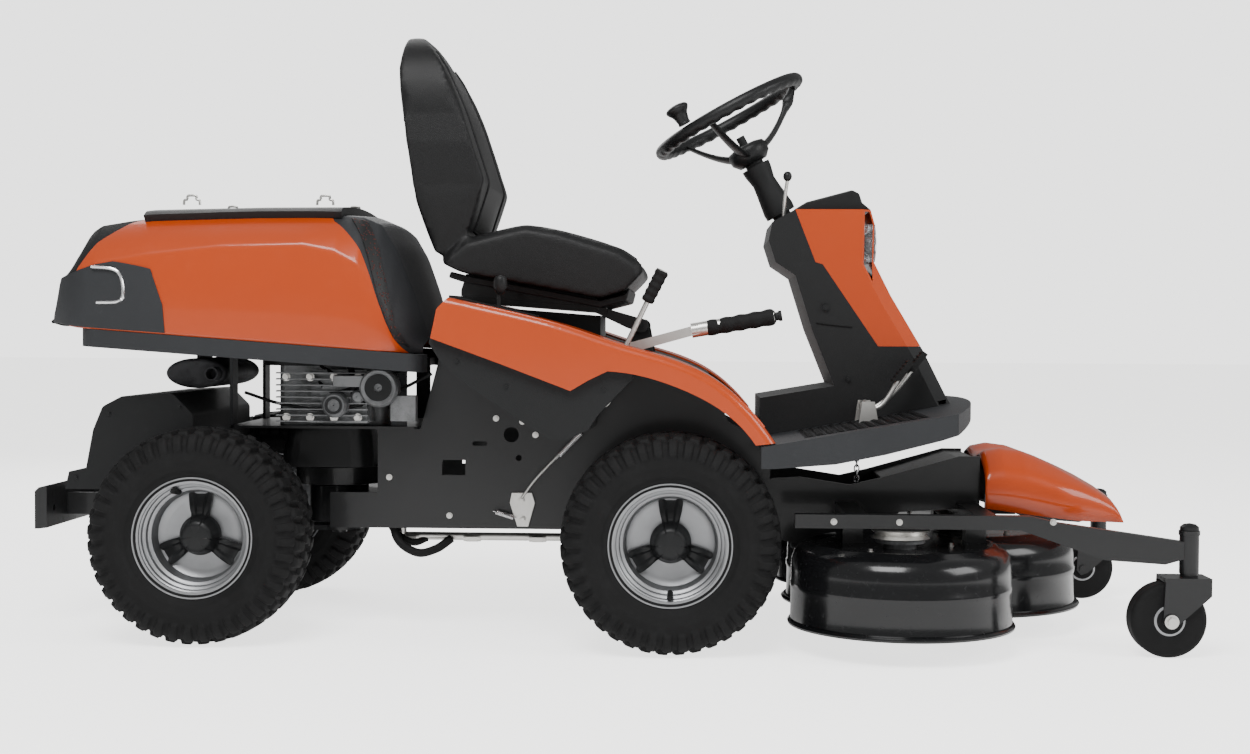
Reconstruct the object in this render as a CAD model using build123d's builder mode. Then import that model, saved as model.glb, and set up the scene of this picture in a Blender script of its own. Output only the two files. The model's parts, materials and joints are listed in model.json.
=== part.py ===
"""Articulated ride-on lawn mower with a front-mounted three-blade cutting deck.

Frame: millimetres, +X forward, +Y to the driver's left, +Z up. The origin is on the ground under the middle
of the whole machine. The rear axle is a carriage that swings about an upright pivot under the engine, so the
machine bends in the middle to steer. Each piece is a solid of its own and is written to parts/NAME.step.
"""

import os
from math import atan2, cos, degrees, hypot, radians, sin, sqrt

from build123d import *

os.makedirs("parts", exist_ok=True)

# ---- overall layout ---------------------------------------------------------------------------------------
WHEELBASE = 887
REAR_OVERHANG = 370  # rear axle to the back of the tow bar
FRONT_REACH = 983  # front axle to the front of the caster forks
FRONT_TRACK = 715
REAR_TRACK = 625
PIVOT_AHEAD = 197  # steering pivot ahead of the rear axle
DECK_WIDTH = 1030
FRONT_X = (REAR_OVERHANG + WHEELBASE - FRONT_REACH) / 2  # front axle
REAR_X = FRONT_X - WHEELBASE
PIVOT_X = REAR_X + PIVOT_AHEAD
TAIL_X = REAR_X - REAR_OVERHANG

# ---- clearances and walls ---------------------------------------------------------------------------------
GAP = 0.3  # between pieces that lie on each other
RUN_GAP = 0.05  # radial, shaft in a bore
SHELL = 4  # plastic covers
PLATE = 5  # frame steel

# ---- drive wheels -----------------------------------------------------------------------------------------
TYRE_R = 203.5
TYRE_W = 170
TYRE_WALL = 11
BEAD_R = 101.5
FLANGE_R = 114.5
RIM_W = 140
RIM_SHEET = 4
WELL_R = 88
AXLE_Z = TYRE_R
STUB_R = 16
AXLE_TUBE_R = 32
HUB_R = 55
HUB_T = 16
CAP_R = 30
CAP_DEPTH = 48

# ---- frame ------------------------------------------------------------------------------------------------
FRAME_HALF = 150  # outer faces of the side plates
BEAM_BOTTOM = AXLE_Z - 4
BEAM_TOP = AXLE_Z + 70
ENGINE_DECK_Z = AXLE_Z + 192  # underside of the engine plate
ENGINE_DECK_HALF = 190
PIVOT_PIN_R = 15
PIVOT_HOUSING_R = 60
RING_R = 97  # steering ring, outside
RING_T = 6
RING_Z = AXLE_Z + 75
RING_H = 34

TOW_PIN_R = 8.5
TOW_BOLT_R = 6.5
TOW_BOLT_PITCH = 300

# ---- body panels ------------------------------------------------------------------------------------------
FENDER_OUT = 430
FENDER_IN = 230
FOOT_HALF = 430
TUNNEL_HALF = 130
HOOD_HALF = 300
SEAT_HALF = 225
LIFT_Y = 258  # lift lever, height lever and throttle, to the driver's right
HEIGHT_Y = 302
THROTTLE_Y = 330
LIFT_SHAFT_R = 8
HEIGHT_SHAFT_R = 6

# ---- steering wheel ---------------------------------------------------------------------------------------
COLUMN_ANGLE = 61.5  # column above the horizontal, leaning back
WHEEL_R = 168
WHEEL_TUBE = 14
COLUMN_R = 19

# ---- cutting deck -----------------------------------------------------------------------------------------
DECK_BOTTOM = 46
DECK_TOP = 188
DECK_SHEET = 4
DOME_Z = DECK_TOP + 15
BLADE_R = 172
BLADE_Z = DECK_BOTTOM + 44
BLADE_SIDE_Y = DECK_WIDTH / 2 - BLADE_R - 15
BLADE_STAGGER = 165  # middle blade ahead of the side blades
SIDE_BLADE_X = FRONT_X + 425
MID_BLADE_X = SIDE_BLADE_X + BLADE_STAGGER
SPINDLE_R = 12
HOUSING_R = 30
PULLEY_R = 55
HITCH_X = FRONT_X + 150
HITCH_Z = AXLE_Z + 67
HITCH_PIN_R = 9
CHANNEL_HALF = 120
ARM_Y = 345
KINGPIN_X = FRONT_X + 950
KINGPIN_R = 9
CASTER_R = 69
CASTER_W = 48
CASTER_TRAIL = 40
CASTER_PIN_R = 8


def front(*points):
    """Points given from the front axle and the ground, as points in the machine's frame."""
    return [(FRONT_X + x, z + AXLE_Z - 203.5) for x, z in points]


def tail(*points):
    """Points given from the steering pivot and the axle height, for the engine bay and hood."""
    return [(PIVOT_X + x, z + AXLE_Z - 203.5) for x, z in points]


def lowered(points, drop):
    return [(x, z - drop) for x, z in points]


def save(part, name):
    part.label = name
    export_step(part, f"parts/{name}.step")


def side_plane(y):
    """Upright plane whose local x is X and local y is Z, at Y = -y; extrusions go to the driver's right."""
    return Plane.XZ.offset(y)


# ---- drive wheels: tyre, rim and hub cap -------------------------------------------------------------------
def wheel_plane(x, y, side):
    return Plane(origin=(x, y, AXLE_Z), x_dir=(0, side, 0), z_dir=(side, 0, 0))


def drive_wheel(name, x, y, side):
    """Tubeless tyre on a drop-centre rim. Local x is outward along the axle, local y the radius."""
    plane = wheel_plane(x, y, side)
    spin = Axis((x, y, AXLE_Z), (0, 1, 0))
    half, bead = TYRE_W / 2, RIM_W / 2 - RIM_SHEET - GAP
    inner_half = half - TYRE_WALL
    mid_r = (TYRE_R + BEAD_R) / 2
    shoulder_r, crown = TYRE_R - 13, TYRE_R - TYRE_WALL
    seat_r = BEAD_R + GAP
    with BuildPart() as tyre:
        with BuildSketch(plane):
            with BuildLine():
                Line((bead, seat_r), (bead, FLANGE_R + 2))
                ThreePointArc((bead, FLANGE_R + 2), (half, mid_r), (half - 9, shoulder_r))
                ThreePointArc((half - 9, shoulder_r), (0, TYRE_R), (9 - half, shoulder_r))
                ThreePointArc((9 - half, shoulder_r), (-half, mid_r), (-bead, FLANGE_R + 2))
                Line((-bead, FLANGE_R + 2), (-bead, seat_r))
                Line((-bead, seat_r), (TYRE_WALL - bead, seat_r))
                Line((TYRE_WALL - bead, seat_r), (TYRE_WALL - bead, FLANGE_R + 6))
                ThreePointArc(
                    (TYRE_WALL - bead, FLANGE_R + 6), (-inner_half, mid_r), (12 - inner_half, crown - 12)
                )
                ThreePointArc((12 - inner_half, crown - 12), (0, crown), (inner_half - 12, crown - 12))
                ThreePointArc(
                    (inner_half - 12, crown - 12), (inner_half, mid_r), (bead - TYRE_WALL, FLANGE_R + 6)
                )
                Line((bead - TYRE_WALL, FLANGE_R + 6), (bead - TYRE_WALL, seat_r))
                Line((bead - TYRE_WALL, seat_r), (bead, seat_r))
            make_face()
        revolve(axis=spin)
    edge, well = RIM_W / 2, 28
    sheet = RIM_SHEET
    disc_half = 2.5
    with BuildPart() as rim:
        with BuildSketch(plane):
            with BuildLine():
                Polyline(
                    (edge, FLANGE_R), (edge - sheet, FLANGE_R), (edge - sheet, BEAD_R), (well + 12, BEAD_R),
                    (well, WELL_R), (-well, WELL_R), (-well - 12, BEAD_R), (sheet - edge, BEAD_R),
                    (sheet - edge, FLANGE_R), (-edge, FLANGE_R), (-edge, BEAD_R - sheet),
                    (-well - 14, BEAD_R - sheet), (-well - 2, WELL_R - sheet), (well + 2, WELL_R - sheet),
                    (well + 14, BEAD_R - sheet), (edge, BEAD_R - sheet), close=True,
                )
            make_face()
        revolve(axis=spin)
        with BuildSketch(plane):
            with BuildLine():
                bore = STUB_R + RUN_GAP
                Polyline(
                    (-disc_half, bore), (disc_half, bore), (disc_half, WELL_R - sheet / 2),
                    (-disc_half, WELL_R - sheet / 2), close=True,
                )
            make_face()
        revolve(axis=spin)
    face = Plane(origin=(x, y + side * (disc_half + GAP), AXLE_Z), x_dir=(1, 0, 0), z_dir=(0, side, 0))
    with BuildPart() as cap:
        with BuildSketch(face):
            Circle(CAP_R)
        extrude(amount=CAP_DEPTH - disc_half)
        with BuildSketch(face):
            with PolarLocations(0, 3, start_angle=90 if side < 0 else -90):
                with BuildLine():
                    Polyline((10, -17), (10, 17), (WELL_R - 12, 13), (WELL_R - 12, -13), close=True)
                make_face()
        extrude(amount=15)
        fillet(cap.faces().sort_by(Axis.Y)[0 if side < 0 else -1].edges(), 5)
        with BuildSketch(face):
            Circle(CAP_R - SHELL)
        extrude(amount=CAP_DEPTH - disc_half - SHELL, mode=Mode.SUBTRACT)
    save(tyre.part, f"tyre_{name}")
    save(Compound(children=[rim.part.solid(), cap.part.solid()]), f"rim_{name}")


for end, axle_x, track in (("front", FRONT_X, FRONT_TRACK), ("rear", REAR_X, REAR_TRACK)):
    drive_wheel(f"{end}_right", axle_x, -track / 2, -1)
    drive_wheel(f"{end}_left", axle_x, track / 2, 1)


# ---- axle housings with stub shafts ------------------------------------------------------------------------
def axle_shaft(x, track):
    """Profile of the right-hand tube, hub flange, stub shaft and nut, outward from the middle."""
    disc = track / 2
    hub_face = disc - 2.5 - GAP
    nut_face = disc + 2.5 + GAP
    with BuildSketch(Plane(origin=(x, 0, AXLE_Z), x_dir=(0, -1, 0), z_dir=(-1, 0, 0))) as profile:
        with BuildLine():
            Polyline(
                (0, 0), (0, AXLE_TUBE_R), (hub_face - HUB_T, AXLE_TUBE_R), (hub_face - HUB_T, HUB_R),
                (hub_face, HUB_R), (hub_face, STUB_R), (nut_face, STUB_R), (nut_face, STUB_R + 6),
                (nut_face + 10, STUB_R + 6), (nut_face + 10, STUB_R - 2), (nut_face + 16, STUB_R - 2),
                (nut_face + 16, 0), close=True,
            )
        make_face()
    return profile.sketch


inner_frame = FRAME_HALF - PLATE
with BuildPart() as front_axle_housing:
    revolve(axle_shaft(FRONT_X, FRONT_TRACK), axis=Axis((FRONT_X, 0, AXLE_Z), (0, 1, 0)))
    mirror(about=Plane.XZ)
    with BuildSketch(side_plane(0)):
        with BuildLine():
            Polyline(
                *front((-110, 150), (-125, 215), (-95, 285), (70, 285), (100, 240), (95, 150), (60, 118), (-60, 118)),
                close=True,
            )
        make_face()
    extrude(amount=inner_frame - GAP, both=True)
save(front_axle_housing.part, "front_axle_housing")

CARRIAGE_HALF = 95
with BuildPart() as rear_axle_housing:
    revolve(axle_shaft(REAR_X, REAR_TRACK), axis=Axis((REAR_X, 0, AXLE_Z), (0, 1, 0)))
    mirror(about=Plane.XZ)
    with Locations((REAR_X, 0, AXLE_Z)):
        Box(150, 2 * CARRIAGE_HALF, 130)
    fillet(rear_axle_housing.edges().filter_by(Axis.Y).filter_by(
        lambda e: abs(abs(e.center().X - REAR_X) - 75) < 1), 20)
save(rear_axle_housing.part, "rear_axle_housing")

# ---- frame side plates -------------------------------------------------------------------------------------
FENDER_TOP = front(
    (-405, 651), (-309, 630), (-200, 603), (-86, 566), (0, 541), (73, 508), (136, 457), (189, 391)
)
PLATFORM_DROP = SHELL + GAP
PLATE_DROP = PLATFORM_DROP + SHELL + GAP
FLOOR_REAR, FLOOR_FRONT = front((163, 384))[0], front((520, 447))[0]
FLOOR_SLOPE = (FLOOR_FRONT[1] - FLOOR_REAR[1]) / (FLOOR_FRONT[0] - FLOOR_REAR[0])


def floor_z(x):
    return FLOOR_REAR[1] + (x - FLOOR_REAR[0]) * FLOOR_SLOPE


plate_top = lowered(FENDER_TOP[:6], PLATE_DROP)
foot_end = FRONT_X + 430
floor_under = SHELL + GAP
with BuildPart() as frame_side_plates:
    with BuildSketch(side_plane(inner_frame)):
        with BuildLine():
            Spline(*plate_top)
            Polyline(
                plate_top[-1], (FRONT_X + 110, FLOOR_REAR[1] + 30), (FLOOR_REAR[0] - GAP, FLOOR_REAR[1] + 2),
                (FLOOR_REAR[0] - GAP, FLOOR_REAR[1] - floor_under),
                (foot_end, floor_z(foot_end) - floor_under),
                *front((430, 405), (300, 371), (195, 352), (185, 225), (140, 199.5)),
                (PIVOT_X + 12, BEAM_BOTTOM), (PIVOT_X + 12, BEAM_TOP - 4), (PIVOT_X + 107, BEAM_TOP - 4),
                (PIVOT_X + 107, ENGINE_DECK_Z), (PIVOT_X + 192, ENGINE_DECK_Z), (PIVOT_X + 226, ENGINE_DECK_Z + 130),
                (PIVOT_X + 242, ENGINE_DECK_Z + 202), plate_top[0],
            )
        make_face()
        with Locations((FRONT_X, AXLE_Z)):
            Circle(AXLE_TUBE_R + 2, mode=Mode.SUBTRACT)
        with Locations(*front((-432, 320))):
            Rectangle(46, 30, mode=Mode.SUBTRACT)
        with Locations(*front((-318, 386))):
            Circle(15, mode=Mode.SUBTRACT)
        with Locations(*front((-303, 340))):
            Circle(6, mode=Mode.SUBTRACT)
        with Locations(*front((-380, 368))):
            SlotOverall(30, 9, mode=Mode.SUBTRACT)
    extrude(amount=PLATE)
    mirror(about=Plane.XZ)
save(frame_side_plates.part, "frame_side_plates")

# ---- cross members: pivot housing with its pin, engine plate with the belt guard ----------------------------
TONGUE_TOP = RING_Z - 6
with BuildPart() as pivot_housing:
    with BuildSketch(Plane.XY.offset(BEAM_BOTTOM)):
        with Locations((PIVOT_X, 0)):
            Circle(PIVOT_HOUSING_R)
    extrude(amount=TONGUE_TOP - BEAM_BOTTOM)
    for level in (BEAM_BOTTOM + 6, TONGUE_TOP - 20):
        with BuildSketch(Plane.XY.offset(level)):
            with Locations((PIVOT_X + 12 + 75, 0)):
                Rectangle(150, 2 * (inner_frame - GAP))
            with Locations((PIVOT_X + 20, 0)):
                Rectangle(60, 2 * PIVOT_HOUSING_R - 10)
        extrude(amount=10)
    with BuildSketch(Plane.XY.offset(BEAM_BOTTOM - 26)):
        with Locations((PIVOT_X, 0)):
            Circle(PIVOT_PIN_R)
    extrude(amount=RING_Z + 26 - (BEAM_BOTTOM - 26))
GUARD_BOTTOM = RING_Z + RING_H + 4
with BuildPart() as engine_plate:
    with BuildSketch(Plane.XY.offset(ENGINE_DECK_Z + GAP)):
        with Locations((PIVOT_X, 0)):
            RectangleRounded(2 * ENGINE_DECK_HALF, 2 * (FRAME_HALF + 10), 20)
    extrude(amount=PLATE)
    with BuildSketch(Plane.XY.offset(ENGINE_DECK_Z + GAP)):
        with Locations((PIVOT_X - 5, 0)):
            RectangleRounded(170, 230, 40)
    with BuildSketch(Plane.XY.offset(GUARD_BOTTOM)):
        with Locations((PIVOT_X - 5, 0)):
            RectangleRounded(188, 250, 40)
    loft()
with BuildPart() as middle_member:
    with BuildSketch(Plane.XY.offset(BEAM_BOTTOM + 8)):
        with Locations((PIVOT_X + 330, 0)):
            Rectangle(90, 2 * (inner_frame - GAP))
    extrude(amount=60)
    with BuildSketch(Plane.XY.offset(BEAM_BOTTOM + 12)):
        with Locations((PIVOT_X + 330, 0)):
            Rectangle(90, 2 * (inner_frame - GAP - PLATE))
    extrude(amount=60, mode=Mode.SUBTRACT)
with BuildPart() as hitch_pin:
    with BuildSketch(side_plane(-inner_frame)):
        with Locations((HITCH_X, HITCH_Z)):
            Circle(HITCH_PIN_R)
    extrude(amount=2 * inner_frame)
cross_members = [pivot_housing, engine_plate, middle_member, hitch_pin]
save(Compound(children=[member.part.solid() for member in cross_members]), "frame_cross_members")

# ---- rear carriage: ears on the pivot pin, ring plate, web to the axle, tail beam ---------------------------
EAR_BOTTOM = BEAM_BOTTOM - 18
WEB_FRONT, WEB_HALF = PIVOT_X - 90, 60
AXLE_FRONT = REAR_X + 75 + GAP
AXLE_BACK = REAR_X - 75 - GAP
with BuildPart() as carriage_frame:
    for level, radius in ((EAR_BOTTOM, 48), (RING_Z, RING_R - RING_T - GAP)):
        with BuildSketch(Plane.XY.offset(level)):
            with Locations((PIVOT_X, 0)):
                Circle(radius)
            with Locations((PIVOT_X - 60, 0)):
                Rectangle(120, 2 * 45)
        extrude(amount=10)
    with BuildSketch(Plane.XY.offset(EAR_BOTTOM)):
        with Locations(((WEB_FRONT + AXLE_FRONT) / 2, 0)):
            Rectangle(WEB_FRONT - AXLE_FRONT, 2 * WEB_HALF)
    extrude(amount=RING_Z + 10 - EAR_BOTTOM)
    saddle_z = AXLE_Z + 65 + GAP
    with BuildSketch(Plane.XY.offset(saddle_z)):
        with Locations(((WEB_FRONT + AXLE_BACK - 110) / 2, 0)):
            Rectangle(WEB_FRONT - AXLE_BACK + 110, 2 * CARRIAGE_HALF - 20)
    extrude(amount=8)
    with BuildSketch(Plane.XY.offset(EAR_BOTTOM)):
        with Locations((AXLE_BACK - 55, 0)):
            Rectangle(110, 2 * CARRIAGE_HALF)
    extrude(amount=saddle_z - EAR_BOTTOM)
    with BuildSketch(Plane.XY.offset(EAR_BOTTOM - 1)):
        with Locations((PIVOT_X, 0)):
            Circle(PIVOT_PIN_R + RUN_GAP)
    extrude(amount=RING_Z + 12 - EAR_BOTTOM, mode=Mode.SUBTRACT)
with BuildPart() as steering_ring:
    with BuildSketch(Plane.XY.offset(RING_Z)):
        with Locations((PIVOT_X, 0)):
            Circle(RING_R)
            Circle(RING_R - RING_T, mode=Mode.SUBTRACT)
        with Locations((PIVOT_X - RING_R + 10, 0)):
            Rectangle(60, 2 * 60, mode=Mode.SUBTRACT)
    extrude(amount=RING_H)
save(Compound(children=[carriage_frame.part.solid(), steering_ring.part.solid()]), "carriage_frame")

# Plastic cover over the carriage's battery box and counterweight, with a stepped rear foot.
COVER_HALF = 215
ENGINE_PLATE_REACH = hypot(ENGINE_DECK_HALF - 20, FRAME_HALF - 10) + 20  # steering pivot to the plate's corners
COVER_FRONT = PIVOT_X - ENGINE_PLATE_REACH - 4
cover_base = saddle_z + 8 + GAP
cover_outline = [
    (REAR_X - 300, cover_base), (REAR_X - 292, AXLE_Z + 108), (REAR_X - 258, AXLE_Z + 116),
    (REAR_X - 244, AXLE_Z + 190), (REAR_X - 225, AXLE_Z + 236), (REAR_X - 187, AXLE_Z + 256),
    (COVER_FRONT - 40, AXLE_Z + 262), (COVER_FRONT, AXLE_Z + 222), (COVER_FRONT, cover_base),
]
with BuildPart() as rear_cover:
    with BuildSketch(side_plane(0)):
        with BuildLine():
            Polyline(*cover_outline, close=True)
        make_face()
    extrude(amount=COVER_HALF, both=True)
    fillet(rear_cover.edges().filter_by(Axis.Y).filter_by(lambda e: e.center().Z > AXLE_Z + 180), 14)
    with BuildSketch(side_plane(0)):
        with BuildLine():
            Polyline(*cover_outline, close=True)
        make_face()
        offset(amount=-SHELL, mode=Mode.REPLACE)
    extrude(amount=COVER_HALF - SHELL, both=True, mode=Mode.SUBTRACT)
    with Locations(((REAR_X - 291 + COVER_FRONT - 9) / 2, 0, cover_base)):
        Box(COVER_FRONT - 9 - REAR_X + 291, 2 * COVER_HALF - 2 * SHELL, 4 * SHELL, mode=Mode.SUBTRACT)
save(rear_cover.part, "rear_cover")

with BuildPart() as tow_bar:
    with BuildSketch(side_plane(0)):
        with BuildLine():
            Polyline(
                (TAIL_X, AXLE_Z - 8), (TAIL_X, AXLE_Z + 66), (TAIL_X + 8, AXLE_Z + 74), (TAIL_X + 24, AXLE_Z + 78),
                (TAIL_X + 24, AXLE_Z - 6), (TAIL_X + 8, AXLE_Z - 8), close=True,
            )
        make_face()
    extrude(amount=190, both=True)
    bar_end = AXLE_BACK - 110 - GAP
    for offset_y in (-75, 75):
        with Locations(((TAIL_X + 20 + bar_end) / 2, offset_y, AXLE_Z + 32)):
            Box(bar_end - TAIL_X - 20, 8, 44)
    with Locations((bar_end - 4, 0, AXLE_Z + 32)):
        Box(8, 160, 44)
    with BuildSketch(Plane.YZ.offset(TAIL_X - 1)):
        with Locations((0, AXLE_Z + 30)):
            Circle(TOW_PIN_R)
        with Locations((-TOW_BOLT_PITCH / 2, AXLE_Z + 30), (TOW_BOLT_PITCH / 2, AXLE_Z + 30)):
            Circle(TOW_BOLT_R)
    extrude(amount=30, mode=Mode.SUBTRACT)
save(tow_bar.part, "tow_bar")

# ---- fenders, side panels, seat platform -------------------------------------------------------------------
FENDER_LOW = front(
    (-436, 577), (-309, 531), (-182, 483), (-150, 502), (-115, 519), (-60, 512), (4, 493), (97, 445), (153, 387)
)
fender_rear = front((-425, 630))[0]


with BuildPart() as fenders:
    with BuildSketch(side_plane(FENDER_IN)):
        with BuildLine():
            Spline(*FENDER_TOP)
            Line(FENDER_TOP[-1], FENDER_LOW[-1])
            Spline(*FENDER_LOW[4:])
            Polyline(*FENDER_LOW[:5])
            Polyline(FENDER_LOW[0], fender_rear, FENDER_TOP[0])
        make_face()
    extrude(amount=FENDER_OUT - FENDER_IN)
    outer_edges = fenders.faces().sort_by(Axis.Y)[0].edges().filter_by(lambda e: e.length > 500)
    fillet(outer_edges.sort_by(Axis.Z)[-1], 14)
    with BuildSketch(side_plane(FENDER_IN - 1)):
        with BuildLine():
            roof = lowered(FENDER_TOP, SHELL)
            open_low = roof[-1][1] - 80
            Spline(*roof)
            Polyline(
                roof[-1], (roof[-1][0] + 20, open_low), (FRONT_X - 446, open_low),
                *front((-446, 598), (-427, 602), (-421, 628)), roof[0],
            )
        make_face()
    extrude(amount=FENDER_OUT - FENDER_IN + 1 - 14, mode=Mode.SUBTRACT)
    mirror(about=Plane.XZ)
    for slot_y, slot_rear, slot_front in (
        (LIFT_Y, -205, -25), (HEIGHT_Y, -115, 40), (THROTTLE_Y, -352, -300)
    ):
        with Locations((FRONT_X + (slot_rear + slot_front) / 2, -slot_y, AXLE_Z + 396)):
            Box(slot_front - slot_rear, 30 if slot_y == LIFT_Y else 22, 260, mode=Mode.SUBTRACT)
save(fenders.part, "fenders")

PANEL_OUT = FENDER_OUT - 14 - GAP
with BuildPart() as side_panels:
    with BuildSketch(side_plane(PANEL_OUT - 30)):
        with BuildLine():
            Polyline(
                *front(
                    (-436, 592), (-309, 546), (-182, 500), (-120, 532), (-62, 527), (-70, 505), (-132, 440),
                    (-150, 412), (-192, 392), (-222, 394), (-255, 415), (-364, 487), (-419, 533), (-441, 568),
                ),
                close=True,
            )
        make_face()
    extrude(amount=30)
    with BuildSketch(side_plane(PANEL_OUT - 31)):
        with BuildLine():
            Polyline(
                *front(
                    (-426, 592), (-309, 549), (-182, 503), (-122, 534), (-80, 530), (-78, 508), (-136, 444),
                    (-153, 416), (-193, 397), (-220, 399), (-253, 420), (-361, 491), (-415, 536), (-434, 570),
                ),
                close=True,
            )
        make_face()
        with Locations(*front((-205, 470))):
            Circle(9)
    extrude(amount=31 - SHELL, mode=Mode.SUBTRACT)
    mirror(about=Plane.XZ)
save(side_panels.part, "side_panels")

platform_top = lowered(FENDER_TOP[:6], PLATFORM_DROP)
platform_under = lowered(platform_top, SHELL)
with BuildPart() as seat_platform:
    with BuildSketch(side_plane(0)):
        with BuildLine():
            Spline(*platform_top)
            Line(platform_top[-1], platform_under[-1])
            Spline(*platform_under)
            Line(platform_under[0], platform_top[0])
        make_face()
    extrude(amount=FENDER_IN + 12, both=True)

# ---- foot plate: a shallow upturned tray with a bowed front -------------------------------------------------
FOOT_REAR, FOOT_CORNER, FOOT_NOSE = FRONT_X + 163, FRONT_X + 515, FRONT_X + 590
SKIRT_BOTTOM = front((187, 345), (296, 354), (385, 372), (485, 398), (600, 436))


def foot_block(inset, skirt):
    """Bowed plan of the foot plate cut to its sloping top and curved lower edge."""
    half, far = FOOT_HALF - inset, FOOT_NOSE + 20
    with BuildPart() as block:
        with BuildSketch(Plane.XY):
            with BuildLine():
                Polyline(
                    (FOOT_CORNER - inset, half), (FOOT_REAR - inset, half), (FOOT_REAR - inset, -half),
                    (FOOT_CORNER - inset, -half),
                )
                ThreePointArc((FOOT_CORNER - inset, -half), (FOOT_NOSE - inset, 0), (FOOT_CORNER - inset, half))
            make_face()
        extrude(amount=AXLE_Z + 400)
        with BuildSketch(side_plane(0)):
            with BuildLine():
                Polyline(
                    (FOOT_REAR - 30, floor_z(FOOT_REAR - 30) - inset), (far, floor_z(far) - inset),
                    *lowered(SKIRT_BOTTOM[::-1], skirt), (FOOT_REAR - 30, SKIRT_BOTTOM[0][1] - skirt), close=True,
                )
            make_face()
        extrude(amount=FOOT_HALF + 10, both=True, mode=Mode.INTERSECT)
    return block.part


with BuildPart() as footplate:
    add(foot_block(0, 0))
    add(foot_block(SHELL, 60), mode=Mode.SUBTRACT)
save(footplate.part, "footplate")

# ---- steering console: tunnel, tower, orange front, dash top ------------------------------------------------
base_rear, base_front = FRONT_X + 172, FRONT_X + 548
TOWER = [
    (base_rear, floor_z(base_rear) + GAP),
    *front((172, 461), (318, 486), (274, 595), (240, 703), (201, 729), (187, 772), (194, 808), (239, 833)),
    *front((388, 833), (397, 806), (396, 731), (430, 664), (494, 557), (536, 474)),
    (base_front, floor_z(base_front) + GAP),
]
ORANGE = front(
    (239, 831), (279, 729), (293, 725), (403, 564), (520, 564), (520, 900), (239, 900)
)


def tower_block(inset):
    """Console outline pulled in by the inset, with its front edges bevelled; the floor end is left open."""
    with BuildPart() as block:
        with BuildSketch(side_plane(0)):
            with BuildLine():
                Polyline(*TOWER, close=True)
            make_face()
            if inset:
                offset(amount=-inset, kind=Kind.INTERSECTION, mode=Mode.REPLACE)
        extrude(amount=TUNNEL_HALF - inset, both=True)
        front_edges = block.faces().filter_by(Axis.Y).edges().filter_by(
            lambda e: e.center().X > FRONT_X + 394 and e.length > 40 and e.center().Z > floor_z(base_front) + 20
        )
        chamfer(front_edges, 26 - 0.6 * inset)
    return block.part


with BuildPart() as console_shell:
    add(tower_block(0))
    add(tower_block(SHELL), mode=Mode.SUBTRACT)
    with BuildSketch(side_plane(0)):
        with BuildLine():
            Polyline(
                (base_rear - 2, floor_z(base_rear)), (base_front - 8, floor_z(base_front)),
                (base_front - 8, floor_z(base_front) + 2 * SHELL), (base_rear - 2, floor_z(base_rear) + 2 * SHELL),
                close=True,
            )
        make_face()
    extrude(amount=TUNNEL_HALF - SHELL, both=True, mode=Mode.SUBTRACT)
with BuildPart() as console_front:
    add(console_shell.part)
    with BuildSketch(side_plane(0)):
        with BuildLine():
            Polyline(*ORANGE, close=True)
        make_face()
        offset(amount=-GAP, kind=Kind.INTERSECTION, mode=Mode.REPLACE)
    extrude(amount=TUNNEL_HALF + 1, both=True, mode=Mode.INTERSECT)
    lamp_z = front((0, 768))[0][1]
    with Locations((FRONT_X + 397, 0, lamp_z)):
        Box(90, 210, 74, mode=Mode.SUBTRACT)
with BuildPart() as console_tower:
    add(console_shell.part)
    with BuildSketch(side_plane(0)):
        with BuildLine():
            Polyline(*ORANGE, close=True)
        make_face()
    extrude(amount=TUNNEL_HALF + 1, both=True, mode=Mode.SUBTRACT)

with BuildPart() as headlamps:
    with Locations((FRONT_X + 388, -53, lamp_z)):
        Box(22, 104 - GAP, 74 - 2 * GAP)
    fillet(headlamps.edges().filter_by(Axis.Z).sort_by(Axis.X)[-2:], 8)
    mirror(about=Plane.XZ)
save(headlamps.part, "headlamps")

column_foot = front((217, 838))[0]
DASH_BASE = front((239, 833))[0][1] + GAP
with BuildPart() as dash_panel:
    with BuildSketch(side_plane(0)):
        with BuildLine():
            Polyline(
                (FRONT_X + 246, DASH_BASE), (FRONT_X + 256, DASH_BASE + 8), (FRONT_X + 350, DASH_BASE + 37),
                (FRONT_X + 358, DASH_BASE + 34), (FRONT_X + 372, DASH_BASE), close=True,
            )
        make_face()
    extrude(amount=TUNNEL_HALF - 25, both=True)
    chamfer(dash_panel.faces().filter_by(Axis.Y).edges().filter_by(lambda e: e.center().Z > DASH_BASE + 10), 10)
save(dash_panel.part, "dash_panel")

# ---- steering column and wheel ------------------------------------------------------------------------------
lean = radians(COLUMN_ANGLE)
axis_up = (-cos(lean), 0, sin(lean))
wheel_centre = front((111, 1028))[0]
HUB_DROP = 105  # wheel plane to the underside of the hub
column_top = (wheel_centre[0] + HUB_DROP * cos(lean), 0, wheel_centre[1] - HUB_DROP * sin(lean))
column_length = 126.8  # hub to the slanting top of the console
wheel_plane_up = Plane(origin=(wheel_centre[0], 0, wheel_centre[1]), x_dir=(sin(lean), 0, cos(lean)), z_dir=axis_up)
hub_plane = wheel_plane_up.offset(-HUB_DROP)
SHAFT_R = 9
with BuildPart() as steering_column:
    with BuildSketch(hub_plane.offset(-GAP)):
        Circle(COLUMN_R)
    extrude(amount=-column_length)
    with BuildSketch(hub_plane.offset(-GAP)):
        Circle(SHAFT_R)
    extrude(amount=60)
save(console_tower.part, "console_tower")
save(console_front.part, "console_front")
save(steering_column.part, "steering_column")

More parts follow.
